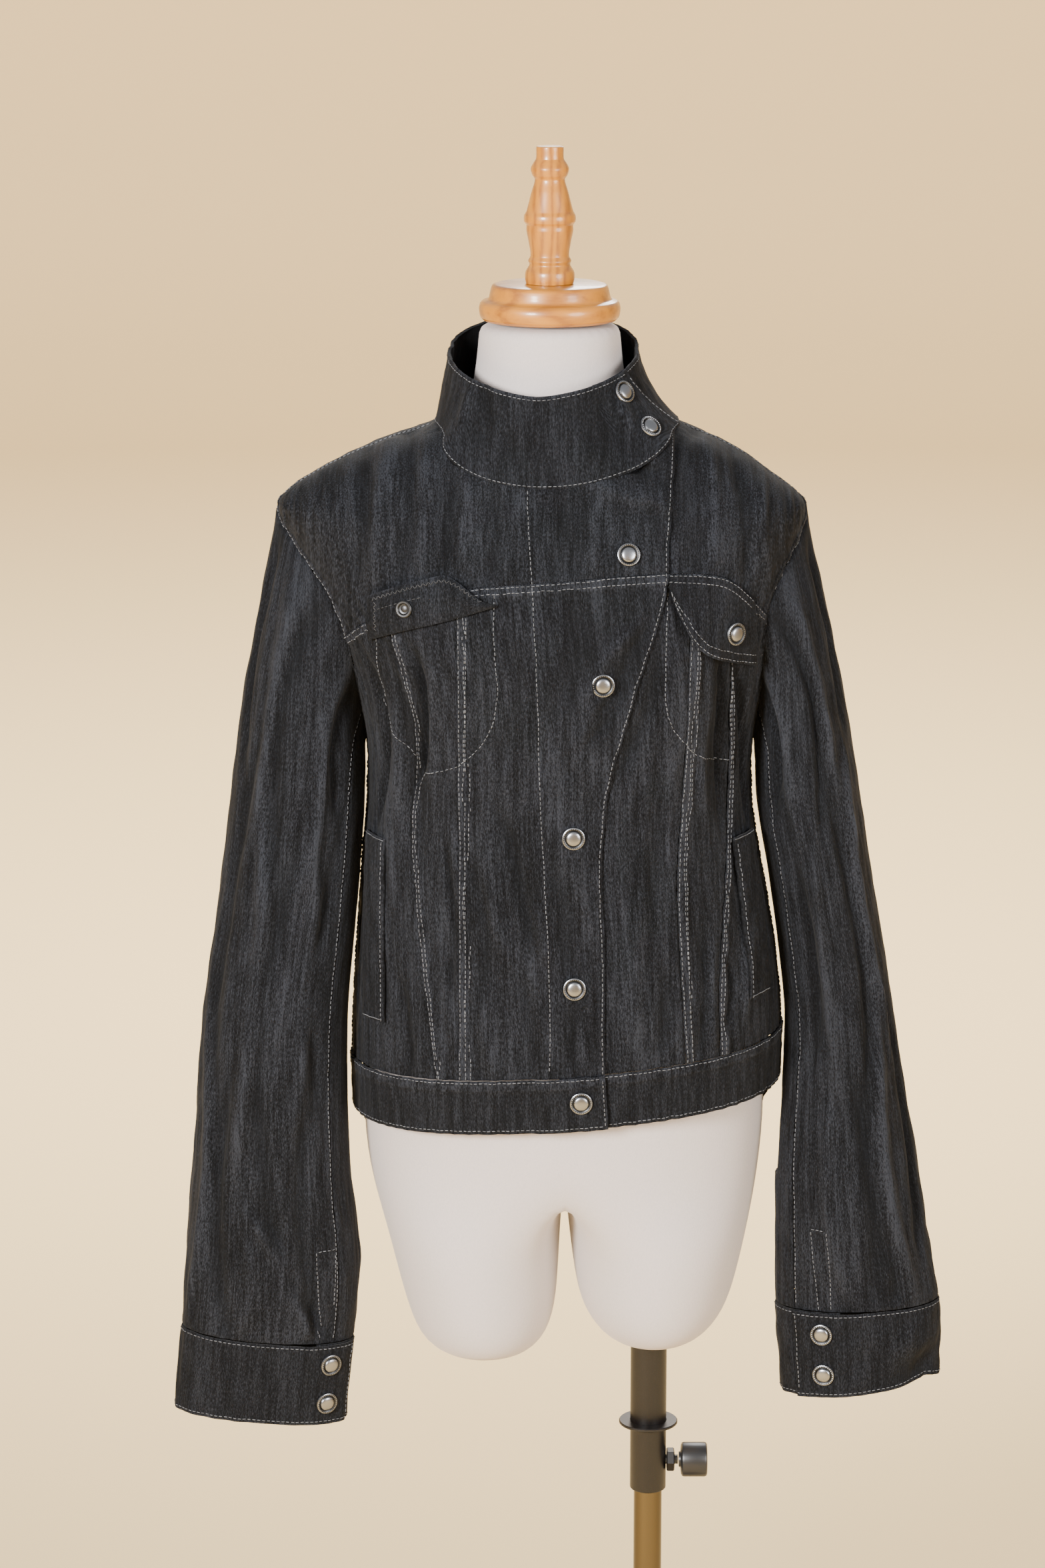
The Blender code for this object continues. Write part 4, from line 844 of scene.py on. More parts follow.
panel = {
    "wall": 0.0015,
    "bandWall": 0.0022,
    "bandRise": 0.0006,
    "bandShade": 0.25,  # the doubled bands look darker than the panels
    "fell": 0.0009,  # how far a felled seam stands up
    "fellWidth": 0.0082,
    "dip": 0.0005,  # at the seam itself
    "dipReach": 0.0018,
    "pucker": 0.00035,
    "puckerReach": 0.008,
    "puckerSize": 0.009,
    "uvStep": 0.37,  # keeps the pieces' grain apart
}


def bodyAxis(points):
    axis = np.array(points, float)
    axis[..., 0], axis[..., 1] = -0.07, 0.0
    return axis


def seamRelief(us, vs, width, length, felled, seed):
    # felled edges stand up; every edge dips at the seam itself and puckers along it
    far = {"start": us[None] * width, "end": (1 - us)[None] * width}
    far.update({"bottom": vs[:, None] * length, "top": (1 - vs)[:, None] * length})
    relief, wear = 0.0, 0.0
    for number, (edge, away) in enumerate(far.items()):
        run = (vs[:, None] * length) if edge in ("start", "end") else (us[None] * width)
        away, run = np.broadcast_arrays(away, run)
        relief = relief - panel["dip"] * (1 - ease(away / panel["dipReach"]))
        waves = ripple(run, away * 0.5, seed + number, panel["puckerSize"])
        relief = relief + panel["pucker"] * waves * np.exp(-away / panel["puckerReach"])
        if edge in felled:
            band = 1 - ease((away - panel["fellWidth"] + 0.0006) / 0.0016)
            relief = relief + panel["fell"] * band * (0.85 + 0.15 * ripple(run, run, seed + 9, 0.012))
            wear = wear + band * (0.35 + 0.5 * np.maximum(ripple(run, away, seed + 5, 0.010), 0))
    return relief, np.clip(wear + 0 * relief, 0, 1)


def addPanel(name, node, borders, lift=noLift, rise=0.0, wall=panel["wall"], felled=(), seed=1, atNeck=False):
    # a panel between its bottom, top, start and end borders, each a row of places on the body
    bottom, top, start, end = borders
    lengths = [reach(plainBody(line[:, 0], line[:, 1]))[-1] for line in borders]
    width, length = max(lengths[:2]), max(lengths[2:])
    us, vs = gridShares(width), gridShares(length)
    grid = coons(bottom, top, start, end, us, vs)
    turn, height = grid[..., 0], grid[..., 1]
    if atNeck:
        height = np.minimum(height, neckHeight(turn) - 0.00015 - 0.004 * (1 - vs[:, None]))
    relief, wear = seamRelief(us, vs, width, length, felled, seed)
    # painted shade: crease troughs are darkened here
    wear = creaseWearAndShade(wear - panel["bandShade"] * (rise > 0), clothRelief(turn, height))
    lifted = lift(turn, height) + rise
    outer = bodySurface(turn, height, lifted + relief)
    plain = plainBody(turn, height) + bodyNormal(turn, height) * np.asarray(lifted)[..., None]
    # the grain runs straight down: on the yokes it follows x, below them the girth
    back = np.cos(turn) < 0
    if atNeck:
        up = np.where(back, plain[..., 2] - 0.9 * plain[..., 1], plain[..., 2] + 0.9 * plain[..., 1])
        uv = np.stack([plain[..., 0] + seed * panel["uvStep"], up], axis=-1)
    else:
        fromMiddle = turn - np.where(back & (turn > quarter * 0.99), math.pi, 0.0)
        around = readTable(body["rows"], 1, height) * fromMiddle
        uv = np.stack([around + seed * panel["uvStep"], height], axis=-1)
    addCloth(name, node, outer, plain, bodyAxis(outer), wall, wear, uv=uv)


def sideBorder(side, back=False):
    turn = side * quarter if not back or side > 0 else 3 * quarter
    top = body["backYoke"] if back else armMeetsYoke(side)
    low = sideLine(turn, body["waistSeam"], body["armBottom"])
    return join(low, armLine(side, body["armBottom"], top, back))


def frontStrip(name, node, first, last, lift, felled, seed):
    borders, corners = [], []
    for table, side in ((first, -1), (last, 1)):
        if table is None:
            borders.append(sideBorder(side))
            corners.append(float(plainBody(*borders[-1][-1])[0]))
        else:
            top = meetYoke(seams[table])
            borders.append(seamLine(seams[table], body["waistSeam"], top))
            corners.append(float(readTable(seams[table], 1, top)))
    bottom = levelLine(borders[0][0][0], borders[1][0][0], body["waistSeam"])
    top = yokeLine(corners[0], corners[1])
    addPanel(name, node, (bottom, top, borders[0], borders[1]), lift, felled=felled, seed=seed)


def frontYoke(name, node, side, table, lift, seed):
    meet, edgeLow = armMeetsYoke(side), meetYoke(seams[table])
    arm = armLine(side, meet, body["armTop"])
    # the turn at which the edge meets the neck seam, found from a first guess
    neckTurn = math.radians(62 if side < 0 else 20)
    for _ in range(30):
        height = neckHeight(neckTurn)
        across = float(plainBody(neckTurn, height)[0])
        neckTurn += (float(readTable(seams[table], 1, height)) - across) * 4.0
    edge = seamLine(seams[table], edgeLow, float(neckHeight(neckTurn)))
    shoulder = sideLine(side * quarter, body["armTop"], float(neckHeight(side * quarter)))
    top = join(shoulder, neckLine(side * quarter, neckTurn))
    bottom = yokeLine(float(plainBody(*arm[0])[0]), float(readTable(seams[table], 1, edgeLow)))
    felled = ("start",) if side < 0 else ("end",)
    if side > 0:
        borders = (bottom[::-1], top[::-1], edge, arm)
    else:
        borders = (bottom, top, arm, edge)
    addPanel(name, node, borders, lift, felled=felled, seed=seed, atNeck=True)
    return neckTurn


# name, node, borders at its right and left, lift, felled edges
strips = (
    ("frontSideRight", "right_front_side", None, "rightOuter", noLift, ("top",)),
    ("frontMiddleRight", "right_front_middle", "rightOuter", "rightInner", noLift, ("start", "top")),
    ("frontCentreRight", "right_front_centre", "rightInner", "overlap", overlapLift, ("start", "top")),
    ("frontCentreLeft", "left_front_centre", "under", "leftInner", noLift, ("top",)),
    ("frontMiddleLeft", "left_front_middle", "leftInner", "leftOuter", noLift, ("start", "top")),
    ("frontSideLeft", "left_front_side", "leftOuter", None, noLift, ("start", "top")),
)
for number, strip in enumerate(strips):
    frontStrip(*strip, seed=21 + number)
rightNeckTurn = frontYoke("frontYokeRight", "right_front_yoke", -1, "overlap", overlapLift, 27)
frontYoke("frontYokeLeft", "left_front_yoke", 1, "under", noLift, 28)
print("fronts made")


def backPanels():
    first, last = quarter, 3 * quarter
    start, end = sideBorder(1, True), sideBorder(-1, True)
    bottom = levelLine(first, last, body["waistSeam"])
    top = levelLine(start[-1][0], end[-1][0], body["backYoke"])
    addPanel("backPanel", "back_panel", (bottom, top, start, end), felled=("start", "end", "top"), seed=31)
    start = armLine(1, body["backYoke"], body["armTop"], True)
    end = armLine(-1, body["backYoke"], body["armTop"], True)
    neckSide = float(neckHeight(first))
    shoulder = sideLine(first, body["armTop"], neckSide)
    far = sideLine(last, neckSide, body["armTop"])
    top = join(shoulder, neckLine(first, last), far)
    bottom = levelLine(start[0][0], end[0][0], body["backYoke"])
    borders = (bottom, top, start, end)
    addPanel("backYoke", "back_yoke", borders, felled=("start", "end"), seed=32, atNeck=True)


backPanels()


def waistband():
    hemEdge = float(turnAt(readTable(seams["overlap"], 1, body["hem"]), body["hem"]))
    waistEdge = float(turnAt(readTable(seams["overlap"], 1, body["waistSeam"]), body["waistSeam"]))
    under = math.asin(body["overlapWidth"] / float(readTable(body["rows"], 1, body["waistSeam"])))
    rows = (
        ("waistbandRight", "waistband_right", -quarter, hemEdge, waistEdge, overlapLift, 2),
        ("waistbandLeft", "waistband_left", hemEdge - under, quarter, quarter, noLift, 1),
        ("waistbandBack", "waistband_back", quarter, 3 * quarter, 3 * quarter, noLift, 1),
    )
    for seed, (name, node, first, lastHem, lastWaist, lift, rises) in enumerate(rows):
        bottom = levelLine(first, lastHem, body["hem"])
        top = levelLine(first, lastWaist, body["waistSeam"])
        start = sideLine(first, body["hem"], body["waistSeam"])
        end = np.stack([mix(lastHem, lastWaist, fine), mix(body["hem"], body["waistSeam"], fine)], axis=-1)
        rise = panel["bandRise"] * rises
        addPanel(name, node, (bottom, top, start, end), lift, rise, panel["bandWall"], ("top",), 41 + seed)


waistband()
print("back and waistband made")


# collar

collar = {
    "topHalf": 0.0700,
    "topFront": 0.0720,
    "topBack": 0.0660,
    "topX": -0.0825,
    "frontTop": 1.4275,
    "backRise": 0.044,
    "underEnd": math.radians(30),
    "overLow": math.radians(430),
    "overHigh": math.radians(417),
    "length": 0.52,
    "tall": 0.070,
    "radius": 0.078,  # metres of cloth for one radian of turn
    "lapFrom": math.radians(362),
    "lapOver": math.radians(24),
    "lapRise": 0.0018,
    # turn in degrees and share of the height at both ends, half width, depth
    "creases": (
        (322, 0.95, 332, 0.30, 0.006, -0.0018),
        (312, 0.80, 318, 0.30, 0.006, 0.0012),
        (345, 0.50, 352, 0.02, 0.005, -0.0012),
        (372, 0.95, 380, 0.30, 0.006, -0.0012),
        (392, 0.75, 386, 0.10, 0.005, -0.0020),
        (402, 0.60, 398, 0.05, 0.005, 0.0014),
        (90, 0.90, 96, 0.10, 0.008, -0.0020),
        (150, 0.80, 146, 0.10, 0.008, -0.0016),
        (210, 0.90, 216, 0.20, 0.008, 0.0016),
        (262, 0.95, 256, 0.30, 0.008, -0.0012),
    ),
}


def collarPoint(turn, share):
    height = neckHeight(turn)
    lift = np.where(turn > math.pi, overlapLift(turn, height), 0.0)
    low = plainBody(turn, height) + bodyNormal(turn, height) * lift[..., None]
    depth = np.where(np.cos(turn) >= 0, collar["topFront"], collar["topBack"])
    away = (1.0 - np.cos(turn + math.radians(4))) / 2
    high = np.stack(
        [
            collar["topX"] + collar["topHalf"] * np.sin(turn),
            -depth * np.cos(turn),
            collar["frontTop"] + collar["backRise"] * away**0.75,
        ],
        axis=-1,
    )
    inward = 1.0 - (1.0 - np.maximum(share, 0)) ** 2
    bow = 0.002 * np.sin(math.pi * share)
    x = mix(low[..., 0], high[..., 0], inward) + np.sin(turn) * bow
    y = mix(low[..., 1], high[..., 1], inward) - np.cos(turn) * bow
    return np.stack([x, y, mix(low[..., 2], high[..., 2], share)], axis=-1)


def collarAxis(points):
    axis = np.array(points, float)
    axis[..., 0], axis[..., 1] = -0.078, 0.0
    return axis


def creaseTable(creases, radius, tall=1.0):
    # the same creases with their ends in metres of cloth
    return [
        (math.radians(first) * radius, low * tall, math.radians(last) * radius, high * tall, width, depth)
        for first, low, last, high, width, depth in creases
    ]


def edgeWear(vs, tall, faded):
    # the free edge of a piece fades over that much of its length
    return 1 - ease((1 - vs[:, None]) * tall / faded)


def addCollar():
    tall, radius = collar["tall"], collar["radius"]
    us, vs = gridShares(collar["length"], 0.0026), gridShares(tall, 0.0022)
    share = mix(-0.012, 1.0, vs)[:, None] + 0 * us[None]
    turn = mix(collar["underEnd"], mix(collar["overLow"], collar["overHigh"], share), us[None])
    plain = collarPoint(turn, share)
    normals = outwards(gridNormals(plain), plain - collarAxis(plain))
    lift = panel["bandRise"] + collar["lapRise"] * ease((turn - collar["lapFrom"]) / collar["lapOver"])
    relief, wear = seamRelief(us, vs, collar["length"], tall, (), 51)
    crease = creaseDepth(turn * radius, share * tall, creaseTable(collar["creases"], radius, tall))
    crease = crease + 0.0003 * ripple(turn * 0.16, share * 0.05, 6, 0.016)
    # the lower edge keeps its line on the neck seam
    crease = crease * ease(share / 0.45)
    depth = lift + relief + crease
    outer = plain + normals * depth[..., None]
    plain = plain + normals * lift[..., None]
    # painted shade: crease troughs are darkened here
    wear = creaseWearAndShade(wear + 0.8 * edgeWear(vs, tall, 0.004) - panel["bandShade"], crease)
    # the grain runs straight down at the front and round the neck behind
    local = turn - 2 * math.pi
    beside = np.where(turn > math.pi, ease((np.abs(local) - 0.6) / 0.6), 1.0)
    uv = np.stack([mix(plain[..., 0] - collar["topX"], local * 0.075, beside), plain[..., 2]], axis=-1)
    addCloth("standCollar", "collar", outer, plain, collarAxis(outer), panel["bandWall"], wear, uv=uv)


addCollar()


# sleeves and cuffs: a place is (turn, share), turn 0 faces the body, a quarter turn the front

sleeve = {
    "frontSeam": math.radians(38),
    "backSeam": math.radians(310),
    "seamGap": 0.003,  # in radians, on each side of a seam
    "levelShare": 0.36,
    "level": 1.085,
    "clear": 0.0024,
    "radius": 0.062,  # metres of cloth for one radian of turn
    "length": 0.62,
    # height, inner x, outer x, front y, back y
    -1: (
        (0.640, -0.2340, -0.3655, -0.074, -0.016),
        (0.704, -0.2270, -0.3590, -0.078, -0.010),
        (0.760, -0.2230, -0.3550, -0.082, -0.002),
        (0.840, -0.2290, -0.3480, -0.082, 0.008),
        (0.950, -0.2300, -0.3400, -0.080, 0.020),
        (1.040, -0.2220, -0.3270, -0.072, 0.032),
        (1.120, -0.2160, -0.3170, -0.064, 0.044),
        (1.200, -0.2160, -0.3070, -0.060, 0.052),
        (1.270, -0.2200, -0.2965, -0.056, 0.056),
        (1.345, -0.2260, -0.2860, -0.050, 0.056),
    ),
    1: (
        (0.660, 0.1010, 0.2225, -0.068, -0.008),
        (0.725, 0.0960, 0.2210, -0.070, 0.000),
        (0.789, 0.0950, 0.2100, -0.070, 0.010),
        (0.840, 0.0950, 0.2020, -0.066, 0.024),
        (0.888, 0.0985, 0.1940, -0.060, 0.036),
        (0.944, 0.1015, 0.1850, -0.056, 0.044),
        (1.000, 0.0960, 0.1760, -0.054, 0.050),
        (1.056, 0.0880, 0.1660, -0.054, 0.054),
        (1.120, 0.0780, 0.1560, -0.054, 0.058),
        (1.220, 0.0780, 0.1395, -0.052, 0.060),
        (1.285, 0.0720, 0.1285, -0.052, 0.060),
        (1.345, 0.0620, 0.1170, -0.048, 0.058),
    ),
}

# turn in degrees and height at both ends, half width, depth
sleeveCreases = {
    -1: (
        (150, 1.320, 150, 1.160, 0.007, -0.0028),
        (128, 1.300, 124, 1.120, 0.007, 0.0026),
        (104, 1.290, 100, 1.060, 0.006, -0.0026),
        (78, 1.260, 72, 1.080, 0.007, 0.0024),
        (60, 1.240, 52, 1.120, 0.006, -0.0030),
        (134, 1.140, 140, 0.900, 0.008, -0.0024),
        (112, 1.080, 116, 0.860, 0.008, 0.0028),
        (92, 1.060, 92, 0.840, 0.007, -0.0026),
        (70, 1.080, 66, 0.900, 0.007, 0.0026),
        (54, 1.060, 50, 0.900, 0.006, -0.0028),
        (150, 0.940, 154, 0.740, 0.007, 0.0022),
        (126, 0.900, 122, 0.730, 0.007, -0.0026),
        (90, 0.806, 52, 0.716, 0.0045, -0.0034),
        (97, 0.800, 60, 0.712, 0.0050, 0.0026),
        (62, 0.880, 58, 0.730, 0.006, -0.0022),
        (104, 0.790, 106, 0.720, 0.005, 0.0016),
        (190, 1.200, 196, 0.950, 0.009, -0.0030),
        (230, 1.150, 224, 0.900, 0.009, 0.0030),
        (270, 1.200, 262, 1.000, 0.009, -0.0032),
        (300, 1.100, 296, 0.850, 0.008, 0.0026),
        (250, 0.950, 256, 0.760, 0.008, -0.0030),
        (210, 0.900, 204, 0.740, 0.008, 0.0026),
        (330, 1.060, 336, 0.860, 0.006, -0.0020),
        (350, 0.900, 346, 0.740, 0.006, 0.0020),
    ),
    1: (
        (150, 1.320, 146, 1.180, 0.007, -0.0026),
        (124, 1.310, 120, 1.150, 0.006, 0.0024),
        (100, 1.280, 96, 1.100, 0.006, -0.0030),
        (76, 1.250, 68, 1.110, 0.006, 0.0026),
        (58, 1.230, 50, 1.130, 0.005, -0.0034),
        (138, 1.150, 142, 0.950, 0.007, 0.0026),
        (114, 1.110, 112, 0.900, 0.007, -0.0026),
        (88, 1.090, 84, 0.900, 0.006, 0.0024),
        (62, 1.060, 58, 0.930, 0.006, -0.0026),
        (150, 0.960, 150, 0.780, 0.007, -0.0026),
        (126, 0.920, 130, 0.760, 0.007, 0.0028),
        (100, 0.900, 102, 0.750, 0.007, -0.0026),
        (74, 0.880, 78, 0.760, 0.006, 0.0022),
        (118, 0.790, 116, 0.735, 0.005, -0.0018),
        (190, 1.200, 196, 0.950, 0.009, -0.0030),
        (230, 1.150, 224, 0.900, 0.009, 0.0030),
        (268, 1.200, 262, 1.000, 0.009, -0.0032),
        (300, 1.100, 296, 0.850, 0.008, 0.0026),
        (250, 0.950, 256, 0.780, 0.008, -0.0030),
        (210, 0.900, 204, 0.760, 0.008, 0.0026),
        (330, 1.060, 336, 0.880, 0.006, -0.0020),
    ),
}

# cuff heights at the seam and the edge, inner end then outer end; where its upper end lies
cuff = {
    "lap": math.radians(38),
    "lapOver": math.radians(30),
    "length": 0.34,
    "tall": 0.066,
    -1: {"seam": (0.702, 0.712), "edge": (0.637, 0.646), "overEnd": math.radians(16)},
    1: {"seam": (0.727, 0.731), "edge": (0.657, 0.668), "overEnd": math.radians(38)},
    # pressed in at the left one's outer lower corner: turn in degrees and reach, share and reach, depth
    "dent": (146, 24, 0.86, 0.30, -0.0085),
    "swell": (128, 20, 0.46, 0.22, 0.0030),
    "dentRise": 0.0040,
}


def sideWord(side):
    return "Right" if side < 0 else "Left"


def sleeveAxis(side):
    def axisAt(points):
        axis = np.array(points, float)
        rows = sleeve[side]
        height = axis[..., 2]
        axis[..., 0] = (readTable(rows, 1, height) + readTable(rows, 2, height)) / 2
        axis[..., 1] = (readTable(rows, 3, height) + readTable(rows, 4, height)) / 2
        return axis

    return axisAt


def armholeSurface(turn, side):
    share = (1.0 - np.cos(turn)) / 2
    height = mix(body["armBottom"], body["armTop"], share)
    place = np.where(np.sin(turn) < 0, armTurn(height, side, True), armTurn(height, side, False))
    if side < 0:
        place = np.where(place > math.pi, place - 2 * math.pi, place)
    return bodySurface(place, height), bodyNormal(place, height)


def sleeveSection(side, turn, height):
    rows = sleeve[side]
    x = mix(readTable(rows, 1, height), readTable(rows, 2, height), (1.0 - np.cos(turn)) / 2)
    y = mix(readTable(rows, 4, height), readTable(rows, 3, height), (1.0 + np.sin(turn)) / 2)
    return x, y


def bodyEdge(y, height, side):
    rows = body["rows"]
    depth = np.where(y < 0, readTable(rows, 2, height), readTable(rows, 3, height))
    inside = np.maximum(0.0, 1.0 - (y / (depth * 1.06)) ** 2)
    return readTable(rows, 4, height) + side * readTable(rows, 1, height) * np.sqrt(inside)


def cuffHeight(turn, side, key):
    low, high = cuff[side][key]
    return mix(low, high, (1.0 - np.cos(turn)) / 2)


def sleevePoint(turn, share, side):
    start, _ = armholeSurface(turn, side)
    part = np.clip(share / sleeve["levelShare"], 0, 1)
    lower = np.clip((share - sleeve["levelShare"]) / (1.0 - sleeve["levelShare"]), 0, 1)
    upperHeight = mix(start[..., 2], sleeve["level"], part)
    height = np.where(part < 1, upperHeight, mix(sleeve["level"], cuffHeight(turn, side, "seam"), lower))
    x, y = sleeveSection(side, turn, height)
    blend = 1.0 - (1.0 - part) ** 5
    x, y = mix(start[..., 0], x, blend), mix(start[..., 1], y, blend)
    edge = bodyEdge(y, np.maximum(height, body["hem"]), side) + side * sleeve["clear"] * ease(part / 0.15)
    beside = (np.cos(turn) > 0) & (height > body["hem"] - body["droop"])
    pushed = np.minimum(x, edge) if side < 0 else np.maximum(x, edge)
    return np.stack([np.where(beside, pushed, x), y, height], axis=-1)


def addSleevePiece(name, node, first, last, side, seed):
    radius, long = sleeve["radius"], sleeve["length"]
    width = abs(last - first) * radius
    us, vs = gridShares(width), gridShares(long, 0.0030)
    vs = (vs - vs[0]) / (vs[-1] - vs[0]) * 0.9994
    turn = mix(first, last, us)[None] + 0 * vs[:, None]
    share = vs[:, None] + 0 * turn
    plain = sleevePoint(turn, share, side)
    axis = sleeveAxis(side)(plain)
    normals = outwards(gridNormals(plain), plain - axis)
    start, out = armholeSurface(turn[0], side)
    relief, wear = seamRelief(us, vs, width, long, (), seed)
    where = np.mod(turn, 2 * math.pi)
    crease = creaseDepth(where * radius, plain[..., 2], creaseTable(sleeveCreases[side], radius))
    crease = crease + 0.0005 * ripple(where * 0.14, plain[..., 2] * 0.7, seed % 2 + 70 + side, 0.022)
    # where it faces the body its ridges stay low
    beside = ease((np.cos(turn) - 0.35) / 0.3) * ease((plain[..., 2] - 0.80) / 0.05)
    crease = np.where(crease > 0, crease * (1 - 0.9 * beside), crease)
    cap = ease(share / 0.06) * ease((1.0006 - share) / 0.02)
    gather = 0.0012 * np.exp(-share / 0.03) * ease((0.2 - np.cos(turn)) / 0.6)  # fullness at the sleeve head
    outer = plain + normals * (relief + crease * cap + gather * ease(share / 0.008))[..., None]
    # painted shade: crease troughs are darkened here
    wear = creaseWearAndShade(wear, crease)
    outer[0] = start + out * 0.0002 - unit(start - plain[3]) * 0.0009
    plain[0] = outer[0]
    axis = sleeveAxis(side)(plain)
    table = sleeve[side]
    halfX = np.abs(readTable(table, 2, plain[..., 2]) - readTable(table, 1, plain[..., 2])) / 2
    halfY = np.abs(readTable(table, 4, plain[..., 2]) - readTable(table, 3, plain[..., 2])) / 2
    out, front = side * (plain[..., 0] - axis[..., 0]) / halfX, -(plain[..., 1] - axis[..., 1]) / halfY
    around = np.arctan2(front, -out)
    around = np.where(turn > math.pi * 0.8, np.mod(around, 2 * math.pi), around)
    uv = np.stack([around * radius + seed * panel["uvStep"], plain[..., 2]], axis=-1)
    addCloth(name, node, outer, plain, sleeveAxis(side)(outer), panel["wall"], wear, uv)


def cuffPoint(turn, share, side):
    height = mix(cuffHeight(turn, side, "seam") - 0.0003, cuffHeight(turn, side, "edge"), share)
    x, y = sleeveSection(side, turn, height)
    return np.stack([x, y, height], axis=-1)


def cuffLift(turn, side):
    past = turn - cuff[side]["overEnd"] - cuff["lap"]
    return panel["bandRise"] + (panel["bandWall"] + 0.0010) * (1.0 - ease(past / cuff["lapOver"]))


def addCuff(name, node, side, seed):
    width, tall = cuff["length"], cuff["tall"]
    us, vs = gridShares(width, 0.0026), gridShares(tall, 0.0026)
    over = cuff[side]["overEnd"]
    turn = over + (2 * math.pi + cuff["lap"]) * us[None] + 0 * vs[:, None]
    share = vs[:, None] + 0 * turn
    plain = cuffPoint(turn, share, side)
    normals = outwards(gridNormals(plain), plain - sleeveAxis(side)(plain))
    relief, wear = seamRelief(us, vs, width, tall, (), seed)
    degrees = np.degrees(np.mod(turn, 2 * math.pi))
    dent, swell = (
        np.exp(-(((degrees - middle) / reach) ** 2) - ((share - low) / tallReach) ** 2)
        for middle, reach, low, tallReach, _ in (cuff["dent"], cuff["swell"])
    )
    crease = 0.0006 * ripple(turn * 0.09, share * tall * 0.5, seed, 0.020) * ease(share / 0.2)
    if side > 0:
        crease = crease + cuff["dent"][-1] * dent + cuff["swell"][-1] * swell
    lift = cuffLift(turn, side)
    outer = plain + normals * (lift + relief + crease)[..., None]
    if side > 0:
        outer[..., 2] += cuff["dentRise"] * dent
    plain = plain + normals * lift[..., None]
    # painted shade: crease troughs are darkened here
    wear = creaseWearAndShade(wear + 0.8 * edgeWear(vs, tall, 0.003) - panel["bandShade"], crease)
    addCloth(name, node, outer, plain, sleeveAxis(side)(outer), panel["bandWall"], wear)


for side, word in ((-1, "right"), (1, "left")):
    title = sideWord(side)
    front, back = sleeve["frontSeam"], sleeve["backSeam"]
    gap = sleeve["seamGap"]
    addSleevePiece("topSleeve" + title, word + "_sleeve_top", front + gap, back - gap, side, 61 + side)
    under = (back - 2 * math.pi + gap, front - gap)
    addSleevePiece("underSleeve" + title, word + "_sleeve_under", *under, side, 65 + side)
    addCuff("cuff" + title, word + "_cuff", side, 69 + side)
print("collar, sleeves and cuffs made")


# flaps and welts

flap = {
    "wall": 0.0020,
    "weltRise": 0.0042,
    "shade": 0.15,
    # width, length, grid steps across and along
    "left": (0.063, 0.048, 0.002, 0.002),
    "right": (0.091, 0.034, 0.002, 0.0018),
    "welt": (0.020, 0.131, 0.0018, 0.0025),
    # x of the two ends
    "leftAcross": (0.0072, 0.0712),
    "rightAcross": (-0.2080, -0.1170),
}


def flapShares(kind):
    width, tall, stepAcross, stepAlong = flap[kind]
    return gridShares(width, stepAcross), gridShares(tall, stepAlong)


def addFlap(name, node, kind, place, lift, seed):
    turn, height = place
    width, tall = flap[kind][:2]
    us, vs = flapShares(kind)
    normals = bodyNormal(turn, height)
    relief, wear = seamRelief(us, vs, width, tall, (), seed)
    plain = plainBody(turn, height) + normals * (lift + clothRelief(turn, height) * 0.5)[..., None]
    rough = 0.0003 * ripple(us[None] * width, vs[:, None] * tall, seed, 0.012)
    outer = plain + normals * (relief + rough)[..., None]
    wear = wear + 0.7 * edgeWear(vs, tall, 0.0025) - flap["shade"]
    # painted shade: crease troughs are darkened here
    wear = creaseWearAndShade(wear, clothRelief(turn, height))
    addCloth(name, node, outer, plain, bodyAxis(outer), flap["wall"], wear)


# the left flap's free edge, as x and height
flapEdge = (
    (0.0072, 1.2890), (0.0100, 1.2800), (0.0168, 1.2635), (0.0232, 1.2520), (0.0331, 1.2425),
    (0.0507, 1.2350), (0.0715, 1.2285),
)


def leftFlap():
    us, vs = flapShares("left")
    share, down = us[None], vs[:, None]
    across = mix(*flap["leftAcross"], share**1.25) + 0 * down
    height = mix(yokeHeight(across) - 0.0012, readTable(flapEdge, 1, across), down)
    lift = 0.0030 + 0.0040 * down + 0.0020 * down**2 * np.sin(math.pi * share * 1.4)
    addFlap("chestFlapLeft", "left_chest_flap", "left", (turnAt(across, height), height), lift, 81)


def rightFlap():
    # turned up, so it grows upwards from its fold and narrows towards the front
    us, vs = flapShares("right")
    share, up = us[None], vs[:, None]
    across = mix(*flap["rightAcross"], share) + 0 * up
    low = yokeHeight(across) - 0.0150 - 0.006 * np.sin(math.pi * share)
    height = low + flap["right"][1] * (1.0 - 0.92 * ease((share - 0.55) / 0.45)) * up
    lift = 0.0030 + 0.0040 * np.sin(math.pi * mix(0.12, 0.85, up)) + 0.0012 * np.sin(share * 9) * up
    addFlap("chestFlapRight", "right_chest_flap", "right", (turnAt(across, height), height), lift, 82)


# height, outer turn, inner turn
welt = ((0.968, 67.5, 56.0), (1.040, 72.5, 58.0), (1.098, 75.5, 59.5))


def addWelt(name, node, side, seed):
    us, vs = flapShares("welt")
    height = mix(welt[0][0], welt[-1][0], vs)[:, None] + 0 * us[None]
    degrees = mix(readTable(welt, 1, height), readTable(welt, 2, height), us[None])
    addFlap(name, node, "welt", (side * np.radians(degrees), height), flap["weltRise"] + 0 * height, seed)


leftFlap()
rightFlap()
addWelt("weltRight", "right_welt", -1, 83)
addWelt("weltLeft", "left_welt", 1, 84)
print("flaps and welts made")


# topstitching on every piece: how far its rows lie from a seam or an edge

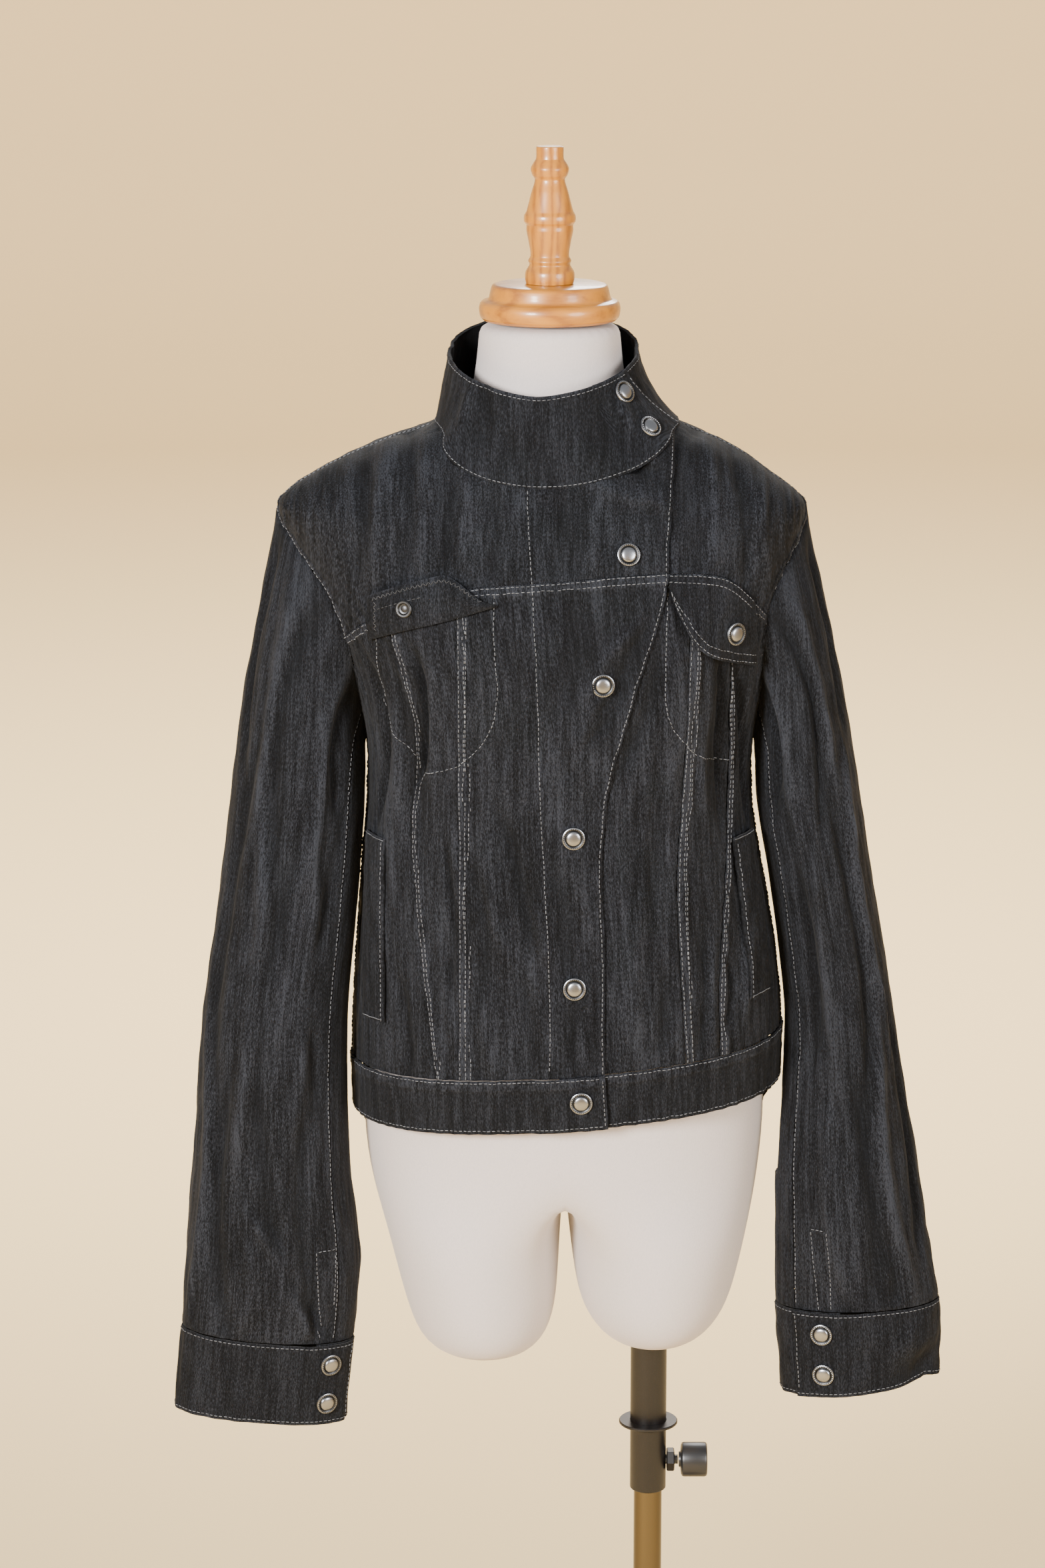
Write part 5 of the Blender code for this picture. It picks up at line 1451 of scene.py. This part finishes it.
seamRows = {
    "near": 0.0013, "far": 0.0062, "hem": 0.0030, "edge": 0.0022,
    "outer": (0.0013, 0.0046), "inner": (0.0010, 0.0062, 0.0088),
    "flapEdge": (0.0020, 0.0078), "flapTop": (0.0006, 0.0060),
    "overlockHalf": 0.0014, "overlockEnd": 0.0012, "overlockPace": 0.0020, "barPace": 0.0022,
}

# lines sewn through the fronts, as x and height
pocketLines = {
    "bagRight": (
        (-0.1185, 1.2880), (-0.1191, 1.2589), (-0.1177, 1.2391), (-0.1158, 1.2200), (-0.1168, 1.2085),
        (-0.1178, 1.2005), (-0.1222, 1.1877), (-0.1290, 1.1767), (-0.1378, 1.1670), (-0.1466, 1.1602),
        (-0.1579, 1.1555), (-0.1752, 1.1514),
    ),
    "bagRightSide": (
        (-0.2046, 1.2520), (-0.2046, 1.2360), (-0.2034, 1.2217), (-0.2022, 1.2041), (-0.2004, 1.1960),
        (-0.1919, 1.1840), (-0.1830, 1.1704), (-0.1771, 1.1623),
    ),
    "bagLeft": (
        (0.0070, 1.2900), (0.0060, 1.2600), (0.0052, 1.2377), (0.0049, 1.2149), (0.0065, 1.1998),
        (0.0116, 1.1877), (0.0211, 1.1744), (0.0302, 1.1660), (0.0480, 1.1583), (0.0570, 1.1561),
    ),
    "bagLeftSide": ((0.0570, 1.1566), (0.0566, 1.1800), (0.0570, 1.2000), (0.0585, 1.2200), (0.0600, 1.2290)),
    "placket": (
        (-0.0946, 1.3610), (-0.0937, 1.3358), (-0.0913, 1.2970), (-0.0879, 1.2309), (-0.0854, 1.1480),
        (-0.0814, 1.0676), (-0.0779, 0.9879), (-0.0779, 0.9330),
    ),
}


def frontPath(line):
    # a smooth path on the front through places given as x and height
    line = np.array(line, float)
    far = np.concatenate([[0.0], np.cumsum(np.hypot(*np.diff(line, axis=0).T))])
    table = np.column_stack([far, line]).tolist()
    place = np.linspace(0, far[-1], 160)
    across, z = readTable(table, 1, place), readTable(table, 2, place)
    # the table's heights are above the floor, so the hem's shift is taken off
    height = z.copy()
    for _ in range(4):
        height = z - hemShift(turnAt(across, height), height)
    turn = turnAt(across, height)
    return bodySurface(turn, height, 0.002)


def borderPath(line, lift=0.002):
    return bodySurface(line[:, 0], line[:, 1], lift)


def treesOf(*names):
    return gridTree(*[panels[name]["outer"] for name in names])


def sewFronts():
    thread = Sewing("stitchesFronts", bodyAxis)
    near, far = seamRows["near"], seamRows["far"]
    waist = body["waistSeam"]
    for name, table in (
        ("frontMiddleRight", "rightOuter"), ("frontCentreRight", "rightInner"),
        ("frontMiddleLeft", "leftInner"), ("frontSideLeft", "leftOuter"),
    ):
        path = borderPath(seamLine(seams[table], waist, meetYoke(seams[table])))
        for offset in seamRows["outer" if "Outer" in table else "inner"]:
            thread.sew(panels[name]["tree"], path, offset)
    # the yoke's seam is felled on to the panels below it
    armRight, armLeft = (float(plainBody(*sideBorder(side)[-1])[0]) for side in (-1, 1))
    edge = float(readTable(seams["overlap"], 1, meetYoke(seams["overlap"])))
    rightTree = treesOf("frontSideRight", "frontMiddleRight", "frontCentreRight")
    leftTree = treesOf("frontCentreLeft", "frontMiddleLeft", "frontSideLeft")
    for tree, first, last in ((rightTree, armRight, edge), (leftTree, edge + 0.003, armLeft)):
        for offset in (near, far):
            thread.sew(tree, borderPath(yokeLine(first, last)), offset)
    # pocket bags and the line behind the right front's facing
    for name, line in pocketLines.items():
        if name != "placket":
            thread.sew(rightTree if "Right" in name else leftTree, frontPath(line))
    allRight = treesOf("frontCentreRight", "frontYokeRight")
    thread.sew(allRight, frontPath(pocketLines["placket"]))
    # the front edge, and the armholes and shoulders
    neckEnd = float(neckHeight(rightNeckTurn))
    thread.sew(allRight, borderPath(seamLine(seams["overlap"], waist, neckEnd), 0.004), seamRows["edge"])
    for side in (-1, 1):
        word = sideWord(side)
        yoke, meet = panels["frontYoke" + word]["tree"], armMeetsYoke(side)
        thread.sew(yoke, borderPath(armLine(side, meet, body["armTop"])), near)
        sidePanel = panels["frontSide" + word]["tree"]
        thread.sew(sidePanel, borderPath(armLine(side, body["armBottom"], meet)), near)
        shoulder = sideLine(side * quarter, body["armTop"], float(neckHeight(side * quarter)))
        thread.sew(yoke, borderPath(shoulder), seamRows["edge"])
    thread.finish(threadGrey)


def sewBack():
    thread = Sewing("stitchesBack", bodyAxis)
    near, far = seamRows["near"], seamRows["far"]
    panelTree, yokeTree = panels["backPanel"]["tree"], panels["backYoke"]["tree"]
    start, end = sideBorder(1, True), sideBorder(-1, True)
    top = levelLine(start[-1][0], end[-1][0], body["backYoke"])
    for offset in (near, far):
        thread.sew(panelTree, borderPath(top), offset)
        for line in (start, end):
            thread.sew(panelTree, borderPath(line), offset)
    for side in (1, -1):
        thread.sew(yokeTree, borderPath(armLine(side, body["backYoke"], body["armTop"], True)), near)
        turn = quarter if side > 0 else 3 * quarter
        shoulder = sideLine(turn, body["armTop"], float(neckHeight(turn)))
        thread.sew(yokeTree, borderPath(shoulder), seamRows["edge"])
    thread.finish(threadGrey)


def gridPath(name, row=None, column=None):
    # one row or column of a piece's own grid
    outer = panels[name]["outer"]
    return outer[row] if row is not None else outer[:, column]


def sewBands():
    thread = Sewing("stitchesWaistband", bodyAxis)
    for name in ("waistbandRight", "waistbandLeft", "waistbandBack"):
        tree = panels[name]["tree"]
        thread.sew(tree, gridPath(name, row=-1), seamRows["near"] + 0.0004)
        thread.sew(tree, gridPath(name, row=0), seamRows["hem"])
    tree, frontEdge = panels["waistbandRight"]["tree"], gridPath("waistbandRight", column=-1)
    thread.sew(tree, frontEdge, seamRows["edge"], trim=(0.003, 0.002))
    thread.finish(threadGrey)
    thread = Sewing("stitchesCollar", collarAxis)
    tree = panels["standCollar"]["tree"]
    thread.sew(tree, gridPath("standCollar", row=0), seamRows["edge"])
    thread.sew(tree, gridPath("standCollar", row=-1), seamRows["hem"])
    thread.sew(tree, gridPath("standCollar", column=-1), seamRows["edge"], trim=(0.003, 0.003))
    thread.finish(threadGrey)


def sewSleeves():
    for side in (-1, 1):
        word = sideWord(side)
        thread = Sewing("stitchesSleeve" + word, sleeveAxis(side))
        top, band = panels["topSleeve" + word], panels["cuff" + word]
        thread.sew(top["tree"], top["outer"][4:, 0], seamRows["near"])
        for offset in (seamRows["near"], seamRows["far"]):
            thread.sew(top["tree"], top["outer"][4:, -1], offset)
        thread.sew(band["tree"], band["outer"][0], seamRows["edge"])
        thread.sew(band["tree"], band["outer"][-1], seamRows["hem"])
        thread.sew(band["tree"], band["outer"][:, 0], seamRows["edge"], trim=(0.003, 0.003))
        placketBox(thread, side)
        thread.finish(threadGrey)


# the bound slit above each cuff: turns in degrees, up one side and down the other, then its height
# and how far up the first side starts
slit = {
    -1: ((42.0, 40.5, 57.0, 51.0), 0.075, 0.030),
    1: ((59.9, 55.5, 71.1, 69.1), 0.064, 0.0),
}


def placketBox(thread, side):
    word = sideWord(side)
    tree = gridTree(panels["topSleeve" + word]["outer"], panels["underSleeve" + word]["outer"])
    turns, tall, stop = slit[side]
    low = cuff[side]["seam"][0] + 0.002
    points = []
    for degrees, height in zip(turns, (low + stop, low + tall, low + tall, low)):
        turn = math.radians(degrees)
        x, y = sleeveSection(side, turn, height)
        points.append((float(x), float(y), height))
    for first, last in zip(points, points[1:]):
        thread.sew(tree, np.linspace(first, last, 24))


def sewFlaps():
    thread = Sewing("stitchesFlapLeft", bodyAxis)
    tree, outer = panels["chestFlapLeft"]["tree"], panels["chestFlapLeft"]["outer"]
    for offset in seamRows["flapEdge"]:
        thread.sew(tree, outer[-1], offset, trim=(0.001, 0.001))
    for offset in seamRows["flapTop"]:
        thread.sew(tree, outer[0], offset)
    thread.finish(threadGrey)
    thread = Sewing("stitchesFlapRight", bodyAxis)
    tree, outer = panels["chestFlapRight"]["tree"], panels["chestFlapRight"]["outer"]
    thread.zigzag(tree, outer[-4, 3:-6], seamRows["overlockHalf"], seamRows["overlockPace"])
    thread.zigzag(tree, outer[4:-4, 4], seamRows["overlockEnd"], seamRows["overlockPace"])
    thread.sew(tree, outer[outer.shape[0] // 2 + 2, 5:-26])
    thread.finish(threadDark)
    for word in ("Right", "Left"):
        thread = Sewing("stitchesWelt" + word, bodyAxis)
        tree, outer = panels["welt" + word]["tree"], panels["welt" + word]["outer"]
        thread.sew(tree, outer[:, -3])
        for row in (2, -3):
            thread.sew(tree, outer[row], pitch=seamRows["barPace"])
        thread.finish(threadGrey)


sewFronts()
sewBack()
sewBands()
sewSleeves()
sewFlaps()
print("topstitching made")


# snaps: a smooth dome in a groove, with a beaded rim

snap = {
    "radius": 0.0085,
    "height": 0.0034,
    "beads": 30,
    "beadRadius": 0.00052,
    "beadOut": 0.855,  # share of the radius
    "beadUp": 0.66,  # share of the height
    "rim": (0.64, 0.90),  # the darkened ring, as shares of the radius
    # share of the height, share of the radius
    "cap": (
        (0.00, 0.86), (0.12, 0.97), (0.34, 1.00), (0.58, 0.965), (0.66, 0.91), (0.64, 0.80), (0.50, 0.735),
        (0.44, 0.70), (0.50, 0.665), (0.72, 0.625), (0.86, 0.52), (0.95, 0.36), (0.99, 0.18), (1.00, 0.02),
    ),
    "socket": (
        (0.00, 0.66), (0.20, 0.74), (0.46, 0.74), (0.62, 0.66), (0.60, 0.54), (0.42, 0.46), (0.16, 0.43),
        (0.08, 0.30), (0.20, 0.20), (0.22, 0.02),
    ),
}


def selectOnly(*items):
    bpy.ops.object.select_all(action="DESELECT")
    for item in items:
        item.select_set(True)
    bpy.context.view_layer.objects.active = items[-1]


def turned(name, profile, sides, closed=False):
    # a ring drawn up through its heights and radii, about the vertical axis
    bpy.ops.object.select_all(action="DESELECT")
    height, radius = profile[0]
    bpy.ops.mesh.primitive_circle_add(
        vertices=sides, radius=radius, fill_type="NOTHING" if closed else "NGON", location=(0, 0, height)
    )
    item = bpy.context.object
    item.name = item.data.name = name
    bpy.ops.object.transform_apply(location=True, rotation=True, scale=True)
    bpy.ops.object.mode_set(mode="EDIT")
    bpy.ops.mesh.select_all(action="SELECT")
    for nextHeight, nextRadius in profile[1:]:
        if closed:
            bpy.ops.mesh.extrude_edges_move(TRANSFORM_OT_translate={"value": (0, 0, nextHeight - height)})
        else:
            bpy.ops.mesh.extrude_region_move(TRANSFORM_OT_translate={"value": (0, 0, nextHeight - height)})
        scale = nextRadius / radius
        bpy.ops.transform.resize(value=(scale, scale, 1), center_override=(0, 0, nextHeight))
        height, radius = nextHeight, nextRadius
    if closed:
        bpy.ops.object.mode_set(mode="OBJECT")
        count = len(item.data.vertices)
        for vertex in item.data.vertices:
            vertex.select = vertex.index < sides or vertex.index >= count - sides
        bpy.ops.object.mode_set(mode="EDIT")
        bpy.ops.mesh.select_mode(type="VERT")
        bpy.ops.mesh.bridge_edge_loops()
    bpy.ops.mesh.select_all(action="SELECT")
    bpy.ops.mesh.normals_make_consistent(inside=False)
    bpy.ops.object.mode_set(mode="OBJECT")
    bpy.ops.object.shade_smooth_by_angle(angle=math.radians(38))
    return item


def settle(item, node, rideOn, material=None, matrix=Matrix()):
    # the piece's place goes into its mesh
    item.data.transform(matrix)
    if material:
        item.data.materials.clear()
        item.data.materials.append(material)
    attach(item, rideOn)
    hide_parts(node)


def capModel():
    radius, tall = snap["radius"], snap["height"]
    model = turned("snapModel", [(up * tall, out * radius) for up, out in snap["cap"]], 40)
    beads = []
    for number in range(snap["beads"]):
        turn = 2 * math.pi * number / snap["beads"]
        far = snap["beadOut"] * radius
        spot = (far * math.cos(turn), far * math.sin(turn), snap["beadUp"] * tall)
        bpy.ops.object.select_all(action="DESELECT")
        bpy.ops.mesh.primitive_ico_sphere_add(subdivisions=1, radius=snap["beadRadius"], location=spot)
        beads.append(bpy.context.object)
    selectOnly(*beads, model)
    bpy.ops.object.join()
    # the groove and the rim under the beads have darkened
    model.data.materials.append(snapMetal)
    model.data.materials.append(snapRim)
    low, high = snap["rim"]
    for face in model.data.polygons:
        out = math.hypot(face.center.x, face.center.y) / radius
        bead = len(face.vertices) == 3 and 0.76 < out < 0.94 and face.center.z > 0.45 * tall
        face.material_index = 1 if low < out < high and not bead else 0
    return model


def snapSeat(node, axisAt, tree):
    # the middle and the outward direction of a cap, dropped on to the cloth under it
    points = np.array([tuple(vertex.co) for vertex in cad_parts[node].data.vertices])
    middle = points.mean(axis=0)
    normal = outwards(np.linalg.svd(points - middle)[2][2], middle - axisAt(middle))
    seat = tree.ray_cast(Vector(middle + normal * 0.02), Vector(-normal), 0.05)[0]
    seat = Vector(middle) if seat is None else seat
    return Matrix.Translation(seat) @ Vector(normal).to_track_quat("Z", "Y").to_matrix().to_4x4()


def addSnaps():
    capPiece = capModel()
    profile = [(up * snap["height"], out * snap["radius"]) for up, out in snap["socket"]]
    socketPiece = turned("socketModel", profile, 32)
    socketPiece.data.materials.append(snapRim)
    grids = {1: [], -1: [], 0: []}
    sides = {"topSleeveRight": -1, "cuffRight": -1, "topSleeveLeft": 1, "cuffLeft": 1}
    for name, made in panels.items():
        grids[sides.get(name, 0)].append(made["outer"])
    trees = {side: gridTree(*grid) for side, grid in grids.items()}
    for node in [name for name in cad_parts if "snap" in name]:
        side = 0
        if "cuff" in node:
            side = -1 if node.startswith("right") else 1
        axisAt = sleeveAxis(side) if side else collarAxis if "collar" in node else bodyAxis
        model = socketPiece if node.endswith("socket") else capPiece
        item = model.copy()
        item.data = model.data.copy()
        words = node.split("_")
        item.name = item.data.name = words[0] + "".join(word.capitalize() for word in words[1:])
        bpy.context.scene.collection.objects.link(item)
        settle(item, node, "form", matrix=snapSeat(node, axisAt, trees[side]))
    for model in (capPiece, socketPiece):
        bpy.data.objects.remove(model, do_unlink=True)


addSnaps()
print("snaps made")


# the dress form's neck cap and finial, in turned wood

wood = {
    "axis": -0.078,
    # height, radius
    "cap": (
        (1.4745, 0.0485), (1.4765, 0.0508), (1.4800, 0.0518), (1.4840, 0.0520), (1.4868, 0.0512),
        (1.4885, 0.0496), (1.4896, 0.0462), (1.4905, 0.0450), (1.4940, 0.0441), (1.4985, 0.0430),
        (1.5003, 0.0418), (1.5010, 0.0395),
    ),
    "finial": (
        (1.5013, 0.0175), (1.5050, 0.0182), (1.5100, 0.0178), (1.5150, 0.0150), (1.5180, 0.0158),
        (1.5215, 0.0142), (1.5300, 0.0152), (1.5400, 0.0172), (1.5440, 0.0172), (1.5465, 0.0188),
        (1.5510, 0.0188), (1.5540, 0.0172), (1.5680, 0.0135), (1.5770, 0.0110), (1.5800, 0.0128),
        (1.5850, 0.0140), (1.5895, 0.0118), (1.5920, 0.0102), (1.6005, 0.0100), (1.6010, 0.0094),
    ),
}


def smoothProfile(table, step):
    heights = [row[0] for row in table]
    count = int((heights[-1] - heights[0]) / step)
    places = np.unique(np.concatenate([np.linspace(heights[0], heights[-1], count), heights]))
    return [(float(z), float(readTable(table, 1, z))) for z in places]


def addWood():
    shift = Matrix.Translation((wood["axis"], 0, 0))
    neckCap = turned("neckCap", smoothProfile(wood["cap"], 0.0012), 72)
    settle(neckCap, "neck_cap", "form", woodFlat, shift)
    finial = turned("finial", smoothProfile(wood["finial"], 0.0010), 48)
    settle(finial, "finial", "form", woodUpright, shift)


addWood()
print("cap and finial turned")


# the stand

stand = {
    "tube": 0.014, "bore": 0.01115, "tubeBottom": 0.560, "tubeTop": 0.980,
    "ring": 0.615, "ringRadius": 0.0228, "clamp": 0.583,
    "pole": 0.011, "poleTop": 0.800,
    "screwFrom": 0.0114, "screwStep": 0.00033, "screwCrest": 0.0040, "screwRoot": 0.0034,
    "gap": 0.0003,
    # turned along the screw's axis: distance from the pole, radius
    "nut": (
        (0.0145, 0.0050), (0.0145, 0.0084), (0.0152, 0.0092), (0.0198, 0.0092), (0.0205, 0.0084),
        (0.0205, 0.0050),
    ),
    "knob": (
        (0.0240, 0.0066), (0.0252, 0.0070), (0.0258, 0.0130), (0.0268, 0.0148), (0.0280, 0.0152),
        (0.0440, 0.0152), (0.0453, 0.0147), (0.0460, 0.0134), (0.0460, 0.0060), (0.0452, 0.0050),
    ),
    # the base from the rim of its bore down: height, radius
    "base": (
        (0.0360, 0.0113), (0.0362, 0.0250), (0.0355, 0.0266), (0.0335, 0.0280), (0.0190, 0.0296),
        (0.0145, 0.0330), (0.0122, 0.0400), (0.0108, 0.1200), (0.0100, 0.1745), (0.0092, 0.1775),
        (0.0072, 0.1796), (0.0050, 0.1800), (0.0020, 0.1800), (0.0006, 0.1792), (0.0000, 0.1780),
        (0.0000, 0.0400),
    ),
}


def addStand():
    low, high, outer, bore = stand["tubeBottom"], stand["tubeTop"], stand["tube"], stand["bore"]
    gap = stand["gap"]
    profile = (
        (low + 0.0006, outer - 0.0001), (low + 0.0009, outer), (high - 0.0006, outer),
        (high, outer - 0.0006), (high, bore + 0.0005), (high - 0.0005, bore), (low + 0.0005, bore),
        (low, bore + 0.0004), (low, outer - 0.0006),
    )
    settle(turned("standTube", profile, 56, closed=True), "stand_tube", "form", brownSteel)
    z, edge = stand["ring"], stand["ringRadius"]
    profile = (
        (z - 0.0012, outer + gap), (z - 0.0012, edge - 0.0006), (z - 0.0006, edge), (z + 0.0006, edge),
        (z + 0.0012, edge - 0.0006), (z + 0.0012, outer + 0.0012), (z + 0.0012, outer + gap),
    )
    settle(turned("tubeRing", profile, 56, closed=True), "tube_ring", "form", brownSteel)
    across = Matrix.Translation((0, 0, stand["clamp"])) @ Matrix.Rotation(quarter, 4, "Y")
    nut = turned("clampNut", stand["nut"], 6, closed=True)
    settle(nut, "clamp_nut", "form", brownSteel, across)
    first, step, root, crest = (stand[key] for key in ("screwFrom", "screwStep", "screwRoot", "screwCrest"))
    thread = [(first + step * number, crest if number % 2 else root) for number in range(37)]
    settle(turned("clampScrew", thread, 28), "clamp_screw", "knob", zincPlate, across)
    settle(flutedKnob(), "clamp_knob", "knob", blackPlastic, across)
    radius, top = stand["pole"], stand["poleTop"]
    profile = ((0.0063, radius - 0.0004), (0.0067, radius), (top - 0.001, radius), (top, radius - 0.001))
    settle(turned("pole", profile, 48), "pole", "stand", polishedBrass)
    # a turned plate whose blind bore takes the pole
    profile = ((0.0060, radius + gap - 0.0001), *stand["base"])
    settle(turned("base", profile, 96), "base", "stand", brownSteel)


def flutedKnob():
    # a round knob with twelve shallow flutes and a raised boss towards the screw
    knob = turned("clampKnob", stand["knob"], 72)
    selectOnly(knob)
    for deep, size in ((0, 0.955), (1, 0.93)):
        for vertex in knob.data.vertices:
            step = round(math.atan2(vertex.co.y, vertex.co.x) / (2 * math.pi) * 72) % 6
            far = math.hypot(vertex.co.x, vertex.co.y)
            vertex.select = far > 0.0128 and (step == 0 if deep else step in (5, 1))
        bpy.ops.object.mode_set(mode="EDIT")
        bpy.ops.transform.resize(value=(size, size, 1), center_override=(0, 0, 0.034))
        bpy.ops.object.mode_set(mode="OBJECT")
    return knob


addStand()
print("stand made")


# the dress form under its jersey

form = {
    "sides": 32,
    "crotch": 0.822,
    "crotchX": -0.0662,
    "arch": 0.008,
    "firstTurn": {1: 40, -1: -140},  # degrees, where each stump's ring starts
    # height, half width, front, back, centre
    "trunk": (
        (0.826, 0.1505, 0.098, 0.092, -0.0665),
        (0.880, 0.1550, 0.102, 0.098, -0.0665),
        (0.940, 0.1500, 0.102, 0.099, -0.0665),
        (1.010, 0.1380, 0.098, 0.092, -0.0670),
        (1.090, 0.1220, 0.094, 0.084, -0.0680),
        (1.170, 0.1260, 0.097, 0.086, -0.0700),
        (1.240, 0.1380, 0.099, 0.090, -0.0740),
        (1.300, 0.1480, 0.092, 0.090, -0.0770),
        (1.335, 0.1360, 0.079, 0.082, -0.0780),
        (1.362, 0.1060, 0.068, 0.073, -0.0780),
        (1.386, 0.0740, 0.058, 0.062, -0.0780),
        (1.420, 0.0560, 0.053, 0.055, -0.0780),
        (1.466, 0.0522, 0.051, 0.051, -0.0780),
        (1.4735, 0.0516, 0.0505, 0.0505, -0.0780),
    ),
    # height, inner x, outer x, front y, back y
    "stumps": {
        -1: (
            (0.784, -0.0680, -0.2040, -0.096, 0.090),
            (0.738, -0.0700, -0.1930, -0.090, 0.082),
            (0.708, -0.0730, -0.1845, -0.084, 0.074),
            (0.689, -0.0820, -0.1745, -0.071, 0.061),
            (0.680, -0.0980, -0.1520, -0.040, 0.030),
        ),
        1: (
            (0.784, -0.0640, 0.0765, -0.096, 0.090),
            (0.742, -0.0590, 0.0675, -0.090, 0.082),
            (0.716, -0.0530, 0.0595, -0.084, 0.074),
            (0.697, -0.0390, 0.0450, -0.070, 0.060),
            (0.688, -0.0220, 0.0260, -0.038, 0.030),
        ),
    },
}


def addDressForm():
    sides, half = form["sides"], form["sides"] // 2
    points, faces, rings = [], [], []
    for height, width, front, back, centre in form["trunk"]:
        rings.append(list(range(len(points), len(points) + sides)))
        for step in range(sides):
            turn = 2 * math.pi * step / sides
            depth = front if math.cos(turn) >= 0 else back
            y = -depth * math.cos(turn) * (1 + 0.1 * math.sin(turn) ** 2)
            points.append((centre + width * math.sin(turn), y, height))
    for low, high in zip(rings, rings[1:]):
        faces += [(low[s], low[(s + 1) % sides], high[(s + 1) % sides], high[s]) for s in range(sides)]
    faces.append(tuple(rings[-1]))
    frontY, backY = points[0][1], points[half][1]
    crotch = []
    for step in range(1, 6):
        crotch.append(len(points))
        arch = form["arch"] * (abs(step - 3) / 3 - 0.5)
        points.append((form["crotchX"], mix(backY, frontY, step / 6), form["crotch"] + arch))
    leftRing = rings[0][: half + 1] + crotch
    rightRing = rings[0][half:] + [rings[0][0]] + crotch[::-1]
    for ring, side in ((leftRing, 1), (rightRing, -1)):
        above, count = ring, len(ring)
        for height, inner, outer, front, back in form["stumps"][side]:
            below = list(range(len(points), len(points) + count))
            for step in range(count):
                turn = 2 * math.pi * step / count - math.radians(form["firstTurn"][side])
                x = (inner + outer) / 2 + abs(outer - inner) / 2 * math.sin(turn)
                points.append((x, (front + back) / 2 - (back - front) / 2 * math.cos(turn), height))
            for step in range(count):
                after = (step + 1) % count
                faces.append((above[after], above[step], below[step], below[after]))
            above = below
        faces.append(tuple(reversed(above)))
    mesh = bpy.data.meshes.new("dressForm")
    mesh.from_pydata(points, [], faces)
    item = addObject("dressForm", mesh)
    selectOnly(item)
    smooth = item.modifiers.new("smooth", "SUBSURF")
    smooth.levels = smooth.render_levels = 2
    bpy.ops.object.modifier_apply(modifier="smooth")
    wide = stand["tube"] + stand["gap"]
    cutter = turned("tubeHole", ((0.60, wide), (stand["tubeTop"] + 0.004, wide)), 56)
    selectOnly(item)
    bore = item.modifiers.new("bore", "BOOLEAN")
    bore.operation, bore.solver, bore.object = "DIFFERENCE", "EXACT", cutter
    bpy.ops.object.modifier_apply(modifier="bore")
    bpy.data.objects.remove(cutter, do_unlink=True)
    item.data.shade_smooth()
    item.data.set_sharp_from_angle(angle=math.radians(50))
    settle(item, "dress_form", "form", jerseyCloth)


addDressForm()
print("dress form made")


# floor, light and camera

studio = {
    "camera": (-0.098, -3.196, 1.862),
    "pitch": math.radians(77),
    "lens": 100,
    "sensor": 36,
    "bowl": ((0.0, 0.0), (9.2, 0.0), (10.2, 0.15), (11.0, 0.7), (11.5, 1.6), (11.9, 5.0)),
    "world": (0.96, 0.955, 0.96),
    "worldStrength": 0.62,
    # place, size, power, colour, what it points at
    "lights": (
        ((-1.7, -2.8, 2.1), 0.9, 290, (1.0, 0.985, 0.97), (-0.07, 0.0, 1.1)),
        ((2.2, -2.4, 1.8), 1.6, 120, (1.0, 0.99, 0.98), (-0.07, 0.0, 1.1)),
        ((0.0, 2.4, 4.4), 3.0, 900, (1.0, 0.95, 0.86), (0.0, 11.0, 1.4)),
        ((0.3, 2.6, 2.7), 1.2, 60, (1.0, 0.98, 0.96), (-0.07, 0.0, 1.0)),
    ),
}


def makeFloor():
    # one pale sweep: flat under the stand, rising far away on every side
    sides = 96
    points, faces = [(0.0, 0.0, 0.0)], []
    rings = studio["bowl"][1:]
    for radius, height in rings:
        for step in range(sides):
            turn = 2 * math.pi * step / sides
            points.append((radius * math.cos(turn), radius * math.sin(turn), height))
    for step in range(sides):
        after = (step + 1) % sides
        faces.append((0, 1 + step, 1 + after))
        for ring in range(len(rings) - 1):
            a, b = 1 + ring * sides, 1 + (ring + 1) * sides
            faces.append((a + step, b + step, b + after, a + after))
    mesh = bpy.data.meshes.new("floor")
    mesh.from_pydata(points, [], faces)
    mesh.shade_smooth()
    pale = plainMaterial("paleFloor", finishes["floor"], 0.9)
    pale.node_tree.nodes["Principled BSDF"].inputs["Specular IOR Level"].default_value = 0.0
    mesh.materials.append(pale)
    addObject("floor", mesh)


def makeLights():
    world = bpy.data.worlds.new("studio")
    bpy.context.scene.world = world
    world.use_nodes = True
    background = world.node_tree.nodes["Background"]
    background.inputs["Color"].default_value = (*studio["world"], 1)
    background.inputs["Strength"].default_value = studio["worldStrength"]
    for number, (place, size, power, colour, target) in enumerate(studio["lights"]):
        lamp = bpy.data.lights.new(f"softLight{number + 1}", "AREA")
        lamp.shape, lamp.size, lamp.energy, lamp.color = "DISK", size, power, colour
        item = addObject(lamp.name, lamp)
        item.location = place
        item.rotation_euler = (Vector(target) - Vector(place)).to_track_quat("-Z", "Y").to_euler()


def makeCamera():
    camera = addObject("camera", bpy.data.cameras.new("camera"))
    camera.data.lens, camera.data.sensor_width = studio["lens"], studio["sensor"]
    camera.location = studio["camera"]
    camera.rotation_euler = (studio["pitch"], 0, 0)
    bpy.context.scene.camera = camera


makeFloor()
makeLights()
makeCamera()
print("floor, lights and camera set")
